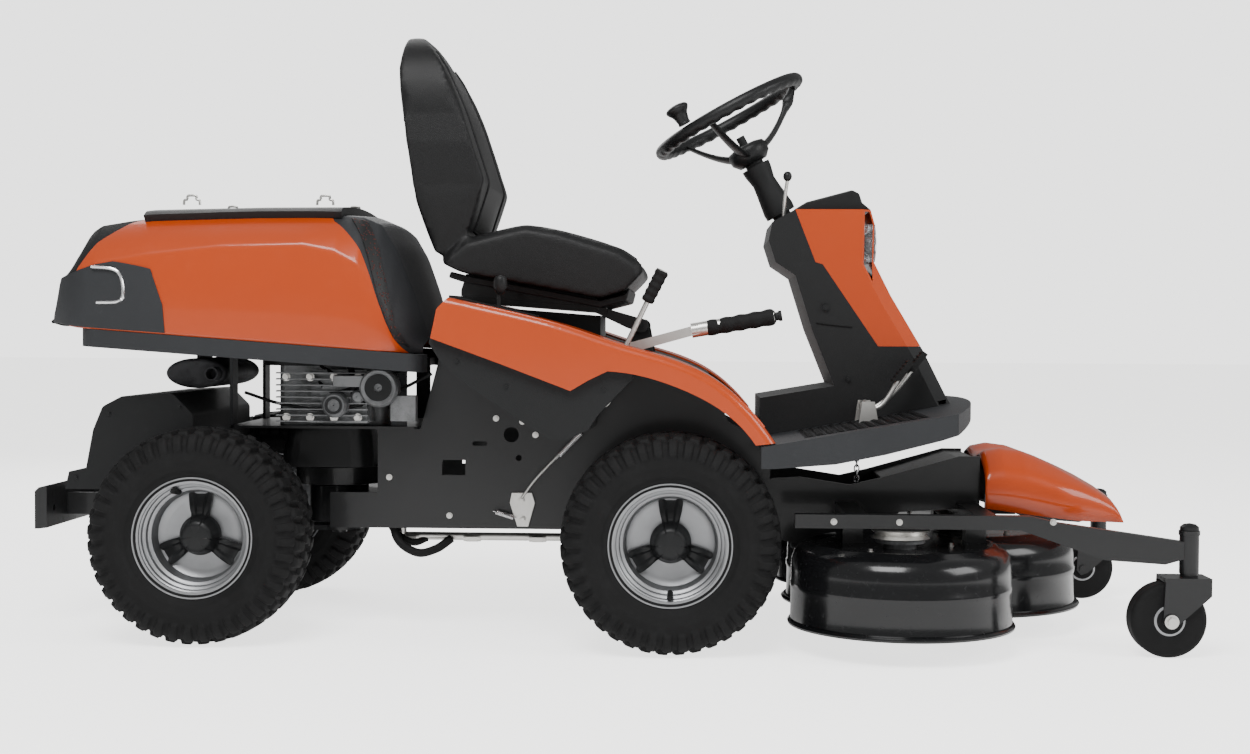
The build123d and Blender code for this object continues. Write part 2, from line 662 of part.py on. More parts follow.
RIM_CENTRE_R = WHEEL_R - WHEEL_TUBE
KNOB_ANGLE = -127
with BuildPart() as steering_wheel:
    with BuildSketch(Plane.XZ):
        with Locations((RIM_CENTRE_R, 0)):
            Circle(WHEEL_TUBE)
    revolve(axis=Axis.Z)
    with BuildSketch(Plane.XY.offset(-HUB_DROP)):
        Circle(32)
    extrude(amount=62)
    for angle in (30, 150, 270):
        with BuildSketch(Plane(origin=(0, 0, 0), x_dir=(cos(radians(angle)), sin(radians(angle)), 0),
                               z_dir=(sin(radians(angle)), -cos(radians(angle)), 0))):
            with BuildLine():
                Polyline(
                    (10, -HUB_DROP + 50), (10, -HUB_DROP + 62), (55, -HUB_DROP + 66), (RIM_CENTRE_R, 4),
                    (RIM_CENTRE_R, -6), (60, -HUB_DROP + 54), close=True,
                )
            make_face()
        extrude(amount=15, both=True)
    with BuildSketch(Plane.XY):
        with PolarLocations(RIM_CENTRE_R, 1, start_angle=KNOB_ANGLE):
            Circle(11)
    extrude(amount=WHEEL_TUBE + 4)
    with BuildSketch(Plane.XY):
        with PolarLocations(RIM_CENTRE_R, 1, start_angle=KNOB_ANGLE):
            Circle(5)
    extrude(amount=48)
    with BuildSketch(Plane.XY.offset(-HUB_DROP)):
        Circle(SHAFT_R + RUN_GAP)
    extrude(amount=60.5, mode=Mode.SUBTRACT)
save(wheel_plane_up.location * steering_wheel.part, "steering_wheel")

knob_spot = (RIM_CENTRE_R * cos(radians(KNOB_ANGLE)), RIM_CENTRE_R * sin(radians(KNOB_ANGLE)))
with BuildPart() as steering_knob:
    with BuildSketch(Plane.XZ):
        with BuildLine():
            low = WHEEL_TUBE + 4 + GAP
            Polyline(
                (5 + RUN_GAP, low), (14, low), (13, low + 8), (21, low + 18), (23, low + 28), (19, low + 37),
                (8, low + 41), (0, low + 42), (0, low + 31), (5 + RUN_GAP, low + 31), close=True,
            )
        make_face()
    revolve(axis=Axis.Z)
save(wheel_plane_up.location * Pos(knob_spot[0], knob_spot[1], 0) * steering_knob.part, "steering_knob")

# ---- engine, muffler and tank under the hood -----------------------------------------------------------------
ENGINE_BASE = ENGINE_DECK_Z + GAP + PLATE + GAP
ENGINE_TOP = ENGINE_BASE + 118
with BuildPart() as engine_block:
    with Locations((PIVOT_X + 10, 0, ENGINE_BASE + 59)):
        Box(220, 230, 118)
    fillet(engine_block.edges().filter_by(Axis.Z), 18)
    for fin in range(6):
        with Locations((PIVOT_X + 40, -125 - 14 * fin, ENGINE_BASE + 60)):
            Box(110, 5, 104)
    with BuildSketch(side_plane(112)):
        with Locations((PIVOT_X + 40, ENGINE_BASE + 60)):
            Circle(36)
    extrude(amount=95)
save(engine_block.part, "engine_block")
with BuildPart() as engine_cowl:
    with BuildSketch(Plane.XY.offset(ENGINE_TOP + GAP)):
        with Locations((PIVOT_X, 0)):
            RectangleRounded(290, 270, 90)
    extrude(amount=110)
    fillet(engine_cowl.edges().sort_by(Axis.Z)[-8:], 18)
    with BuildSketch(Plane.XY.offset(ENGINE_TOP + 110)):
        with Locations((PIVOT_X, 0)):
            Circle(88)
    extrude(amount=26)
save(engine_cowl.part, "engine_cowl")

# Slanting tray that carries the hood: a dished frame with an opening for the engine.
TRAY_REAR, TRAY_FRONT = tail((-439, 592))[0], tail((217, 545))[0]
tray_slope = degrees(atan2(TRAY_REAR[1] - TRAY_FRONT[1], TRAY_FRONT[0] - TRAY_REAR[0]))
TRAY_H = 34
tray_length = TRAY_FRONT[0] - TRAY_REAR[0]


def tray_top(x):
    return TRAY_REAR[1] + (TRAY_FRONT[1] - TRAY_REAR[1]) * (x - TRAY_REAR[0]) / tray_length


def tray_block(x1, x2, half, top_drop, bottom_drop):
    """Block between two heights below the slanting tray top."""
    with BuildPart() as block:
        with BuildSketch(side_plane(0)):
            with BuildLine():
                Polyline(
                    (x1, tray_top(x1) - top_drop), (x2, tray_top(x2) - top_drop),
                    (x2, tray_top(x2) - bottom_drop), (x1, tray_top(x1) - bottom_drop), close=True,
                )
            make_face()
        extrude(amount=half, both=True)
    return block.part


HINGE_X, HINGE_Z = tail((-460, 575))[0]
HINGE_PIN_R = 5
FLOOR_DROP = TRAY_H - 6
with BuildPart() as hood_tray:
    add(tray_block(TRAY_REAR[0], TRAY_FRONT[0], HOOD_HALF, 0, TRAY_H))
    fillet(hood_tray.edges().filter_by(lambda e: abs(abs(e.center().Y) - HOOD_HALF) < 1 and e.length < 60), 30)
    add(tray_block(TRAY_REAR[0] + 14, TRAY_FRONT[0] - 14, HOOD_HALF - 14, -1, FLOOR_DROP), mode=Mode.SUBTRACT)
    add(tray_block(PIVOT_X - 190, TRAY_FRONT[0] + 5, 225, -1, TRAY_H + 1), mode=Mode.SUBTRACT)
    for post_y in (-1, 1):
        post_x = PIVOT_X - 186
        rise = tray_top(post_x) - FLOOR_DROP - ENGINE_BASE
        with Locations((post_x, post_y * 130, ENGINE_BASE + rise / 2)):
            Box(6, 40, rise)
        arm_x = PIVOT_X + 150
        rise = tray_top(arm_x) - TRAY_H - ENGINE_BASE
        with Locations((arm_x, post_y * 150, ENGINE_BASE + (rise + 2) / 2)):
            Box(30, 6, rise + 2)
        with Locations((arm_x, post_y * 195, ENGINE_BASE + rise + 8)):
            Box(30, 96, 16)
        with Locations((TRAY_REAR[0] - 12, post_y * 117, HINGE_Z)):
            Box(46, 14, 18)
        with BuildSketch(side_plane(post_y * 117 + 7)):
            with Locations((HINGE_X, HINGE_Z)):
                Circle(9)
        extrude(amount=-14)
        with BuildSketch(side_plane(post_y * 125 - 15)):
            with Locations((HINGE_X, HINGE_Z)):
                Circle(HINGE_PIN_R)
        extrude(amount=30)
save(hood_tray.part, "hood_tray")

with BuildPart() as fuel_tank:
    with BuildSketch(side_plane(0)):
        with BuildLine():
            a, b = TRAY_REAR[0] + 24, PIVOT_X - 205
            Polyline(
                (a, tray_top(a) - FLOOR_DROP + GAP), (b, tray_top(b) - FLOOR_DROP + GAP),
                (b, tray_top(b) + 120), (a + 40, tray_top(a) + 120), (a, tray_top(a) + 60), close=True,
            )
        make_face()
    extrude(amount=190, both=True)
    fillet(fuel_tank.edges().filter_by(Axis.Y).sort_by(Axis.Z)[-3:], 16)
save(fuel_tank.part, "fuel_tank")

MUFFLER_X, MUFFLER_Z = tail((-262, 503))[0]
with BuildPart() as muffler:
    with BuildSketch(side_plane(130)):
        with Locations((MUFFLER_X, MUFFLER_Z)):
            Ellipse(62, 30)
    extrude(amount=-260)
    fillet(muffler.faces().filter_by(Axis.Y).edges(), 8)
    strap_top = tray_top(MUFFLER_X + 15) - TRAY_H - GAP
    for strap_y in (-70, 70):
        with Locations((MUFFLER_X, strap_y, (MUFFLER_Z + strap_top) / 2)):
            Box(30, 8, strap_top - MUFFLER_Z)
    with BuildSketch(side_plane(120)):
        with Locations((MUFFLER_X + 40, MUFFLER_Z)):
            Circle(13)
            Circle(11, mode=Mode.SUBTRACT)
    extrude(amount=45)
save(muffler.part, "muffler")

# ---- hood ----------------------------------------------------------------------------------------------------
HOOD_SIDE = [
    (TRAY_REAR[0], TRAY_REAR[1] + GAP),
    *tail((-515, 603), (-483, 706), (-444, 795), (-424, 813), (-330, 829), (-320, 837), (86, 840)),
    *tail((126, 816), (155, 757), (185, 679), (213, 590)),
    (TRAY_FRONT[0], TRAY_FRONT[1] + GAP),
]
HOOD_TOP = tail((0, 840))[0][1]


def hood_block(inset, drop):
    """Side view, cross-section and plan crossed into one block; the lower edge is let down by the drop."""
    half = HOOD_HALF - inset
    with BuildPart() as block:
        with BuildSketch(side_plane(0)):
            with BuildLine():
                Polyline(*HOOD_SIDE, close=True)
            make_face()
            if inset:
                offset(amount=-inset, kind=Kind.INTERSECTION, mode=Mode.REPLACE)
            if drop:
                with BuildLine():
                    Polyline(
                        (TRAY_REAR[0] - 68, TRAY_REAR[1] + 30), (TRAY_FRONT[0] - 12, TRAY_FRONT[1] + 30),
                        (TRAY_FRONT[0] - inset - 1, TRAY_FRONT[1] - drop), (TRAY_REAR[0] - 68, TRAY_REAR[1] - drop),
                        close=True,
                    )
                make_face()
        extrude(amount=half, both=True)
        with BuildSketch(Plane.YZ.offset(TRAY_REAR[0] - 100)):
            with BuildLine():
                top = HOOD_TOP - inset
                Polyline(
                    (-half, 0), (-half, top - 108), (-half + 12, top - 66), (-205, top - 12), (-170, top + 2),
                    (170, top + 2), (205, top - 12), (half - 12, top - 66), (half, top - 108), (half, 0), close=True,
                )
            make_face()
        extrude(amount=tray_length + 200, mode=Mode.INTERSECT)
        with BuildSketch(Plane.XY):
            with BuildLine():
                rear, nose = HOOD_SIDE[1][0] + inset, TRAY_FRONT[0] - inset
                Polyline(
                    (rear, -215), (rear + 75, -half), (nose - 60, -half), (nose, -half + 50),
                    (nose, half - 50), (nose - 60, half), (rear + 75, half), (rear, 215), close=True,
                )
            make_face()
        extrude(amount=HOOD_TOP + 10, mode=Mode.INTERSECT)
    return block.part


def hood_region(points, half, grow):
    """Prism across the hood, grown all round; used to share the hood skin out between its panels."""
    with BuildPart() as prism:
        with BuildSketch(side_plane(0)):
            with BuildLine():
                Polyline(*points, close=True)
            make_face()
            if grow:
                offset(amount=grow, kind=Kind.INTERSECTION, mode=Mode.REPLACE)
        extrude(amount=half + grow, both=True)
    return prism.part


with BuildPart() as hood_skin:
    add(hood_block(0, 0))
    add(hood_block(SHELL, 40), mode=Mode.SUBTRACT)
TOP_REGION = tail((-328, 812), (-328, 900), (108, 900), (108, 812))
NOSE_REGION = tail((108, 845), (140, 757), (170, 679), (203, 540), (260, 540), (260, 900), (108, 900))
REAR_REGION = tail((-560, 560), (-560, 900), (-420, 900), (-438, 800), (-464, 706), (-490, 603), (-494, 560))
with BuildPart() as hood_shell:
    add(hood_skin.part)
    add(hood_region(TOP_REGION, 200, GAP), mode=Mode.SUBTRACT)
    add(hood_region(NOSE_REGION, 235, GAP), mode=Mode.SUBTRACT)
    add(hood_region(REAR_REGION, HOOD_HALF + 10, GAP), mode=Mode.SUBTRACT)
with BuildPart() as hood_top_cover:
    add(hood_skin.part)
    add(hood_region(TOP_REGION, 200, 0), mode=Mode.INTERSECT)
    for hook_x in (-264, 2):
        for hook_y in (-150, 150):
            with Locations((PIVOT_X + hook_x, hook_y, HOOD_TOP + 8)):
                Box(34, 10, 24)
                Box(18, 12, 12, mode=Mode.SUBTRACT)
with BuildPart() as hood_front_grille:
    add(hood_skin.part)
    add(hood_region(NOSE_REGION, 235, 0), mode=Mode.INTERSECT)
with BuildPart() as hood_rear_panel:
    add(hood_skin.part)
    add(hood_region(REAR_REGION, HOOD_HALF + 10, 0), mode=Mode.INTERSECT)
    rear_wall = HOOD_SIDE[1]
    for knuckle_y in (128.5, -136.5):
        with BuildSketch(side_plane(knuckle_y)):
            with BuildLine():
                Polyline(
                    (HINGE_X + 8, HINGE_Z - 6), (HINGE_X + 8, HINGE_Z + 8), (rear_wall[0] + 16, rear_wall[1] + 30),
                    (rear_wall[0] + 6, rear_wall[1] + 6), (HINGE_X - 10, HINGE_Z - 8), close=True,
                )
            make_face()
            with Locations((HINGE_X, HINGE_Z)):
                Circle(11)
                Circle(HINGE_PIN_R + RUN_GAP, mode=Mode.SUBTRACT)
        extrude(amount=8)
for panel, title in (
    (hood_shell, "hood_shell"), (hood_top_cover, "hood_top_cover"),
    (hood_front_grille, "hood_front_grille"), (hood_rear_panel, "hood_rear_panel"),
):
    save(panel.part, title)

# ---- seat: hinged frame with rails, sliding seat --------------------------------------------------------------
TILT_X, TILT_Z = front((-64, 603))[0]
TILT_PIN_R = 6
RAIL_REAR, RAIL_FRONT = front((-446, 653.3))[0], front((-132, 630))[0]
rail_rise = (RAIL_REAR[1] - RAIL_FRONT[1]) / (RAIL_REAR[0] - RAIL_FRONT[0])


def rail_line(x, lift):
    return (x, RAIL_FRONT[1] + (x - RAIL_FRONT[0]) * rail_rise + lift)


with BuildPart() as seat_tilt_frame:
    with BuildSketch(side_plane(0)):
        with BuildLine():
            r, f = RAIL_REAR[0], RAIL_FRONT[0]
            Polyline(rail_line(r, -3), rail_line(f, -3), rail_line(f, 0), rail_line(r, 0), close=True)
        make_face()
    extrude(amount=132, both=True)
    for rail_y in (-125, 95):
        with BuildSketch(side_plane(rail_y)):
            with BuildLine():
                Polyline(rail_line(r, -1), rail_line(f, -1), rail_line(f, 8), rail_line(r, 8), close=True)
            make_face()
        extrude(amount=30)
    for arm_y in (-114, 106):
        with BuildSketch(side_plane(arm_y)):
            with BuildLine():
                Polyline(
                    rail_line(f - 30, -1), rail_line(f, 6), (TILT_X + 6, TILT_Z + 12), (TILT_X - 4, TILT_Z - 13),
                    (TILT_X - 28, TILT_Z - 5), close=True,
                )
            make_face()
            with Locations((TILT_X, TILT_Z)):
                Circle(14)
                Circle(TILT_PIN_R + RUN_GAP, mode=Mode.SUBTRACT)
        extrude(amount=8)
save(seat_tilt_frame.part, "seat_tilt_frame")

with BuildPart() as tilt_lugs:
    add(seat_platform.part)
    for lug_y in (-104, 96):
        with BuildSketch(side_plane(lug_y)):
            with BuildLine():
                Polyline(
                    (TILT_X - 24, TILT_Z - 50), (TILT_X - 12, TILT_Z + 8), (TILT_X + 12, TILT_Z + 8),
                    (TILT_X + 26, TILT_Z - 62), (TILT_X - 4, TILT_Z - 55), close=True,
                )
            make_face()
        extrude(amount=8)
    with BuildSketch(side_plane(-118)):
        with Locations((TILT_X, TILT_Z)):
            Circle(TILT_PIN_R)
    extrude(amount=236)
save(tilt_lugs.part, "seat_platform")

with BuildPart() as seat_rails:
    for rail_y in (-128, 92):
        with BuildSketch(side_plane(rail_y)):
            with BuildLine():
                x1, x2 = RAIL_REAR[0] + 25, RAIL_FRONT[0] - 20
                Polyline(
                    rail_line(x1, 8 + GAP), rail_line(x2, 8 + GAP), front((-152, 657))[0], front((-411, 703.7))[0],
                    rail_line(x1, 20), close=True,
                )
            make_face()
        extrude(amount=36)
    with Locations((RAIL_FRONT[0] - 110, 0, RAIL_FRONT[1] + 26)):
        Box(60, 200, 6)
save(seat_rails.part, "seat_rails")

with BuildPart() as seat_bottom:
    with BuildSketch(side_plane(0)):
        with BuildLine():
            Polyline(
                *front(
                    (-92, 670), (-57, 705), (-63, 724), (-102, 751), (-218, 785), (-285, 797), (-353, 781),
                    (-404, 768), (-440, 740), (-450, 723), (-411, 704), (-140, 655),
                ),
                close=True,
            )
        make_face()
    extrude(amount=SEAT_HALF, both=True)
    chamfer(seat_bottom.faces().filter_by(Axis.Y).edges().filter_by(lambda e: e.center().Z > AXLE_Z + 510), 14)
with BuildPart() as seat_back:
    with BuildSketch(side_plane(0)):
        with BuildLine():
            Polyline(
                *front(
                    (-401, 772), (-365, 881), (-409, 1017), (-452, 1113), (-480, 1152), (-505, 1182), (-528, 1172),
                    (-533, 1100), (-519, 978), (-499, 843), (-462, 742), (-446, 738),
                ),
                close=True,
            )
        make_face()
    extrude(amount=SEAT_HALF, both=True)
    with BuildSketch(Plane.YZ.offset(PIVOT_X)):
        with BuildLine():
            seat_top = front((0, 1182))[0][1]
            Polyline(
                (-SEAT_HALF + 8, seat_top - 110), (-SEAT_HALF, seat_top - 230), (-SEAT_HALF + 20, seat_top - 450),
                (SEAT_HALF - 20, seat_top - 450), (SEAT_HALF, seat_top - 230), (SEAT_HALF - 8, seat_top - 110),
            )
            Spline(
                (SEAT_HALF - 8, seat_top - 110), (SEAT_HALF - 40, seat_top - 50), (0, seat_top),
                (-SEAT_HALF + 40, seat_top - 50), (-SEAT_HALF + 8, seat_top - 110),
            )
        make_face()
    extrude(amount=600, mode=Mode.INTERSECT)
save(Compound(children=[seat_bottom.part.solid(), seat_back.part.solid()]), "seat_cushion")

# ---- lever shafts, pedal brackets ------------------------------------------------------------------------------
LIFT_X, LIFT_Z = front((-190, 537))[0]
HEIGHT_X, HEIGHT_Z = front((-137, 457))[0]
PEDAL_X, PEDAL_Z = front((375, 449))[0]
PEDAL_PIN_R = 5
FORWARD_Y, REVERSE_Y = 168, 206
with BuildPart() as lift_shaft:
    with BuildSketch(side_plane(FRAME_HALF)):
        with Locations((LIFT_X, LIFT_Z)):
            Circle(LIFT_SHAFT_R)
    extrude(amount=LIFT_Y + 16 - FRAME_HALF)
    with BuildSketch(side_plane(FRAME_HALF)):
        with Locations((LIFT_X, LIFT_Z)):
            Circle(18)
    extrude(amount=6)
with BuildPart() as height_shaft:
    with BuildSketch(side_plane(FRAME_HALF)):
        with Locations((HEIGHT_X, HEIGHT_Z)):
            Circle(HEIGHT_SHAFT_R)
    extrude(amount=HEIGHT_Y + 12 - FRAME_HALF)
    with BuildSketch(side_plane(FRAME_HALF)):
        with Locations((HEIGHT_X, HEIGHT_Z)):
            Circle(16)
    extrude(amount=6)


def pedal_bracket(y1, y2):
    """Two ears standing on the sloping foot plate with the pedal pin between them."""
    with BuildPart() as bracket:
        for ear in (y1, y2 - 5):
            with BuildSketch(side_plane(ear)):
                with BuildLine():
                    a, b = PEDAL_X - 18, PEDAL_X + 18
                    Polyline(
                        (a, floor_z(a) + GAP), (b, floor_z(b) + GAP), (b - 6, PEDAL_Z + 10), (a + 6, PEDAL_Z + 10),
                        close=True,
                    )
                make_face()
            extrude(amount=5)
        with BuildSketch(side_plane(y1)):
            with Locations((PEDAL_X, PEDAL_Z)):
                Circle(PEDAL_PIN_R)
        extrude(amount=y2 - y1)
    return bracket.part.solid()


mounts = [lift_shaft.part.solid(), height_shaft.part.solid()]
mounts.append(pedal_bracket(FORWARD_Y - 26, REVERSE_Y + 22))
mounts.append(pedal_bracket(-FORWARD_Y - 22, -FORWARD_Y + 22))
save(Compound(children=mounts), "control_mounts")


def pedal(name, y, pad, width):
    """Bent arm on the pedal pin with a tilted pad on its end."""
    run, rise = pad[0] - PEDAL_X, pad[1] - PEDAL_Z
    reach = sqrt(run**2 + rise**2)
    along = (run / reach, 0, rise / reach)
    with BuildPart() as part:
        with BuildSketch(side_plane(y - 8)):
            with Locations((PEDAL_X, PEDAL_Z)):
                Circle(12)
        extrude(amount=16)
        with BuildSketch(Plane(origin=(PEDAL_X, -y, PEDAL_Z), x_dir=(0, 1, 0), z_dir=along)):
            RectangleRounded(11, 11, 4)
        extrude(amount=reach)
        with BuildSketch(Plane(origin=(pad[0], -y, pad[1]), x_dir=(0, 1, 0), z_dir=(-0.9, 0, 0.436))):
            RectangleRounded(width, 66, 8)
        extrude(amount=6, both=True)
        with BuildSketch(side_plane(y - 9)):
            with Locations((PEDAL_X, PEDAL_Z)):
                Circle(PEDAL_PIN_R + RUN_GAP)
        extrude(amount=18, mode=Mode.SUBTRACT)
    save(part.part, name)


pedal("forward_pedal", FORWARD_Y, front((470, 525))[0], 40)
pedal("reverse_pedal", REVERSE_Y, front((438, 508))[0], 30)
pedal("brake_pedal", -FORWARD_Y, front((470, 525))[0], 62)

# ---- levers beside the seat ------------------------------------------------------------------------------------
GRIP_REAR, GRIP_FRONT = front((36, 593))[0], front((192, 620))[0]
grip_len = sqrt((GRIP_FRONT[0] - GRIP_REAR[0]) ** 2 + (GRIP_FRONT[1] - GRIP_REAR[1]) ** 2)
grip_dir = ((GRIP_FRONT[0] - GRIP_REAR[0]) / grip_len, 0, (GRIP_FRONT[1] - GRIP_REAR[1]) / grip_len)
GRIP_R, BUTTON_R, BUTTON_TRAVEL = 14, 8, 8
grip_plane = Plane(origin=(GRIP_REAR[0], -LIFT_Y, GRIP_REAR[1]), x_dir=(0, 1, 0), z_dir=grip_dir)
with BuildPart() as lift_lever:
    bend = front((-70, 563))[0]
    for bar_y in (LIFT_Y - 12, LIFT_Y + 8):
        with BuildSketch(side_plane(bar_y)):
            with BuildLine():
                Polyline(
                    (LIFT_X - 8, LIFT_Z + 10), (bend[0] - 2, bend[1] + 9), (GRIP_REAR[0] + 12, GRIP_REAR[1] + 12),
                    (GRIP_REAR[0] + 14, GRIP_REAR[1] - 6), (bend[0] + 3, bend[1] - 9), (LIFT_X + 8, LIFT_Z - 12),
                    close=True,
                )
            make_face()
        extrude(amount=4)
    with BuildSketch(side_plane(LIFT_Y - 12)):
        with Locations((LIFT_X, LIFT_Z)):
            Circle(17)
    extrude(amount=24)
    with BuildSketch(grip_plane):
        Circle(GRIP_R)
    extrude(amount=grip_len)
    with BuildSketch(grip_plane.offset(grip_len)):
        Circle(BUTTON_R + RUN_GAP)
    extrude(amount=-30, mode=Mode.SUBTRACT)
    with BuildSketch(side_plane(LIFT_Y - 14)):
        with Locations((LIFT_X, LIFT_Z)):
            Circle(LIFT_SHAFT_R + RUN_GAP)
    extrude(amount=28, mode=Mode.SUBTRACT)
save(lift_lever.part, "lift_lever")
with BuildPart() as lift_button:
    with BuildSketch(grip_plane.offset(grip_len - 20)):
        Circle(BUTTON_R)
    extrude(amount=20 + BUTTON_TRAVEL + 2)
    with BuildSketch(grip_plane.offset(grip_len + BUTTON_TRAVEL + 1)):
        Circle(10)
    extrude(amount=6)
save(lift_button.part, "lift_button")

rod_bend, rod_top = front((-86, 565))[0], front((-19, 706))[0]
with BuildPart() as height_lever:
    with BuildLine():
        Polyline(
            (HEIGHT_X, -HEIGHT_Y, HEIGHT_Z), (rod_bend[0], -HEIGHT_Y, rod_bend[1]), (rod_top[0], -HEIGHT_Y, rod_top[1])
        )
    with BuildSketch(Plane(origin=(HEIGHT_X, -HEIGHT_Y, HEIGHT_Z), x_dir=(0, 1, 0),
                           z_dir=(rod_bend[0] - HEIGHT_X, 0, rod_bend[1] - HEIGHT_Z))):
        Circle(5)
    sweep(transition=Transition.ROUND)
    with BuildSketch(Plane(origin=(rod_top[0], -HEIGHT_Y, rod_top[1]), x_dir=(0, 1, 0), z_dir=(0.43, 0, 0.9))):
        Circle(11)
    extrude(amount=-62)
    with BuildSketch(side_plane(HEIGHT_Y - 8)):
        with Locations((HEIGHT_X, HEIGHT_Z)):
            Circle(14)
    extrude(amount=16)
    with BuildSketch(side_plane(HEIGHT_Y - 9)):
        with Locations((HEIGHT_X, HEIGHT_Z)):
            Circle(HEIGHT_SHAFT_R + RUN_GAP)
    extrude(amount=18, mode=Mode.SUBTRACT)
save(height_lever.part, "height_lever")

THROTTLE_X, THROTTLE_Z = front((-326, 616))[0]
with BuildPart() as control_panels:
    with BuildSketch(side_plane(THROTTLE_Y - 36)):
        with BuildLine():
            low_line, high_line = lowered(FENDER_TOP, -GAP), lowered(FENDER_TOP, -GAP - 3)
            Spline(*low_line)
            Line(low_line[-1], high_line[-1])
            Spline(*high_line)
            Line(high_line[0], low_line[0])
        make_face()
    extrude(amount=72)
    with Locations((THROTTLE_X, -THROTTLE_Y, THROTTLE_Z + 20)):
        Box(150, 90, 90, mode=Mode.INTERSECT)
    for ear in (THROTTLE_Y - 9, THROTTLE_Y + 5):
        with BuildSketch(side_plane(ear)):
            with BuildLine():
                Polyline(
                    (THROTTLE_X - 15, THROTTLE_Z - 8), (THROTTLE_X + 15, THROTTLE_Z - 8),
                    (THROTTLE_X + 15, THROTTLE_Z + 16), (THROTTLE_X - 15, THROTTLE_Z + 23), close=True,
                )
            make_face()
        extrude(amount=4)
    with Locations((THROTTLE_X, -THROTTLE_Y, THROTTLE_Z + 25)):
        Box(40, 8, 50, mode=Mode.SUBTRACT)
    with BuildSketch(side_plane(THROTTLE_Y - 9)):
        with Locations((THROTTLE_X, THROTTLE_Z)):
            Circle(3)
    extrude(amount=18)
save(control_panels.part, "control_panels")
with BuildPart() as throttle_lever:
    with BuildSketch(side_plane(THROTTLE_Y - 3)):
        with Locations((THROTTLE_X, THROTTLE_Z)):
            Circle(8)
        with Locations((THROTTLE_X + 3, THROTTLE_Z + 30)):
            Rectangle(7, 60)
        with Locations((THROTTLE_X, THROTTLE_Z)):
            Circle(3 + RUN_GAP, mode=Mode.SUBTRACT)
    extrude(amount=6)
    with BuildSketch(side_plane(THROTTLE_Y - 9)):
        with Locations((THROTTLE_X + 6, THROTTLE_Z + 62)):
            RectangleRounded(24, 20, 6)
    extrude(amount=18)
save(throttle_lever.part, "throttle_lever")

# ---- hydraulic pipes under the frame ---------------------------------------------------------------------------
PIPE_R = 8
pipes = []
for pipe_y in (-110, 110):
    with BuildPart() as pipe:
        with BuildLine() as route:
            start, end = PIVOT_X + 150, FRONT_X - 124
            low = BEAM_BOTTOM - 20
            Polyline(
                (start, pipe_y, BEAM_BOTTOM + 5.7), (start, pipe_y, low), (end - 90, pipe_y, low),
                (end - 40, pipe_y, low + 20), (end, pipe_y, low + 20),
            )
        with BuildSketch(Plane(origin=(start, pipe_y, BEAM_BOTTOM + 5.7), x_dir=(0, 1, 0), z_dir=(0, 0, -1))):
            Circle(PIPE_R)
        sweep(transition=Transition.ROUND)
    pipes.append(pipe.part.solid())
save(Compound(children=pipes), "hydraulic_pipes")

# ---- cutting deck: carrying frame --------------------------------------------------------------------------------
TUBE_LOW, TUBE_HIGH = AXLE_Z + 27, AXLE_Z + 53
CHANNEL = [
    (HITCH_X - 12, HITCH_Z + 18),
    *front((203, 302), (252, 305), (351, 290), (410, 304), (566, 348), (606, 348), (606, 247), (449, 237)),
    *front((352, 142), (214, 180), (190, 215)), (HITCH_X - 12, HITCH_Z - 18),
]
ARM = [
    *front((229, 256), (659, 256), (713, 244), (938, 212), (938, 180), (904, 170), (795, 177), (641, 230.5)),
    *front((229, 230.5),),
]
with BuildPart() as deck_frame:
    for plate_y in (-CHANNEL_HALF, CHANNEL_HALF - 8):
        with BuildSketch(side_plane(plate_y)):
            with BuildLine():
                Polyline(*CHANNEL, close=True)
            make_face()
            with Locations((HITCH_X, HITCH_Z)):
                Circle(22)
        extrude(amount=8)
    with BuildSketch(side_plane(0)):
        with BuildLine():
            Polyline(*front((420, 300), (566, 344), (600, 344), (600, 336), (566, 336), (420, 292)), close=True)
        make_face()
    extrude(amount=CHANNEL_HALF - 1, both=True)
    for tube_x in (FRONT_X + 343, FRONT_X + 580):
        with Locations((tube_x, 0, (TUBE_LOW + TUBE_HIGH) / 2)):
            Box(40, 2 * ARM_Y + 24, TUBE_HIGH - TUBE_LOW)
    for arm_y in (-ARM_Y - 12, ARM_Y - 12):
        with BuildSketch(side_plane(arm_y)):
            with BuildLine():
                Polyline(*ARM, close=True)
            make_face()
        extrude(amount=24)
    with BuildSketch(Plane.XY.offset(AXLE_Z - 50)):
        with Locations((KINGPIN_X, -ARM_Y), (KINGPIN_X, ARM_Y)):
            Circle(17.5)
    extrude(amount=70)
    leg = TUBE_LOW - DECK_TOP
    with Locations((FRONT_X + 343, -250, DECK_TOP + leg / 2), (FRONT_X + 343, 250, DECK_TOP + leg / 2),
                   (FRONT_X + 580, -215, DECK_TOP + leg / 2), (FRONT_X + 580, 215, DECK_TOP + leg / 2)):
        Box(38, 44, leg)
    with BuildSketch(Plane.XY.offset(AXLE_Z - 60)):
        with Locations((KINGPIN_X, -ARM_Y), (KINGPIN_X, ARM_Y)):
            Circle(KINGPIN_R + RUN_GAP)
    extrude(amount=90, mode=Mode.SUBTRACT)
    with BuildSketch(side_plane(-CHANNEL_HALF - 1)):
        with Locations((HITCH_X, HITCH_Z)):
            Circle(HITCH_PIN_R + RUN_GAP)
    extrude(amount=2 * CHANNEL_HALF + 2, mode=Mode.SUBTRACT)
save(deck_frame.part, "deck_frame")

# ---- cutting deck: shell with three domes ---------------------------------------------------------------------
DECK_OUTLINE = [
    (FRONT_X + x, y) for x, y in (
        (408, -128), (330, -172), (226, -240), (213, -330), (226, -430), (290, -502), (360, -DECK_WIDTH / 2),
        (500, -DECK_WIDTH / 2), (584, -492), (637, -420), (668, -330), (704, -262), (800, -226), (827, -150),
    )
]
SPINDLES = ((MID_BLADE_X, 0), (SIDE_BLADE_X, -BLADE_SIDE_Y), (SIDE_BLADE_X, BLADE_SIDE_Y))


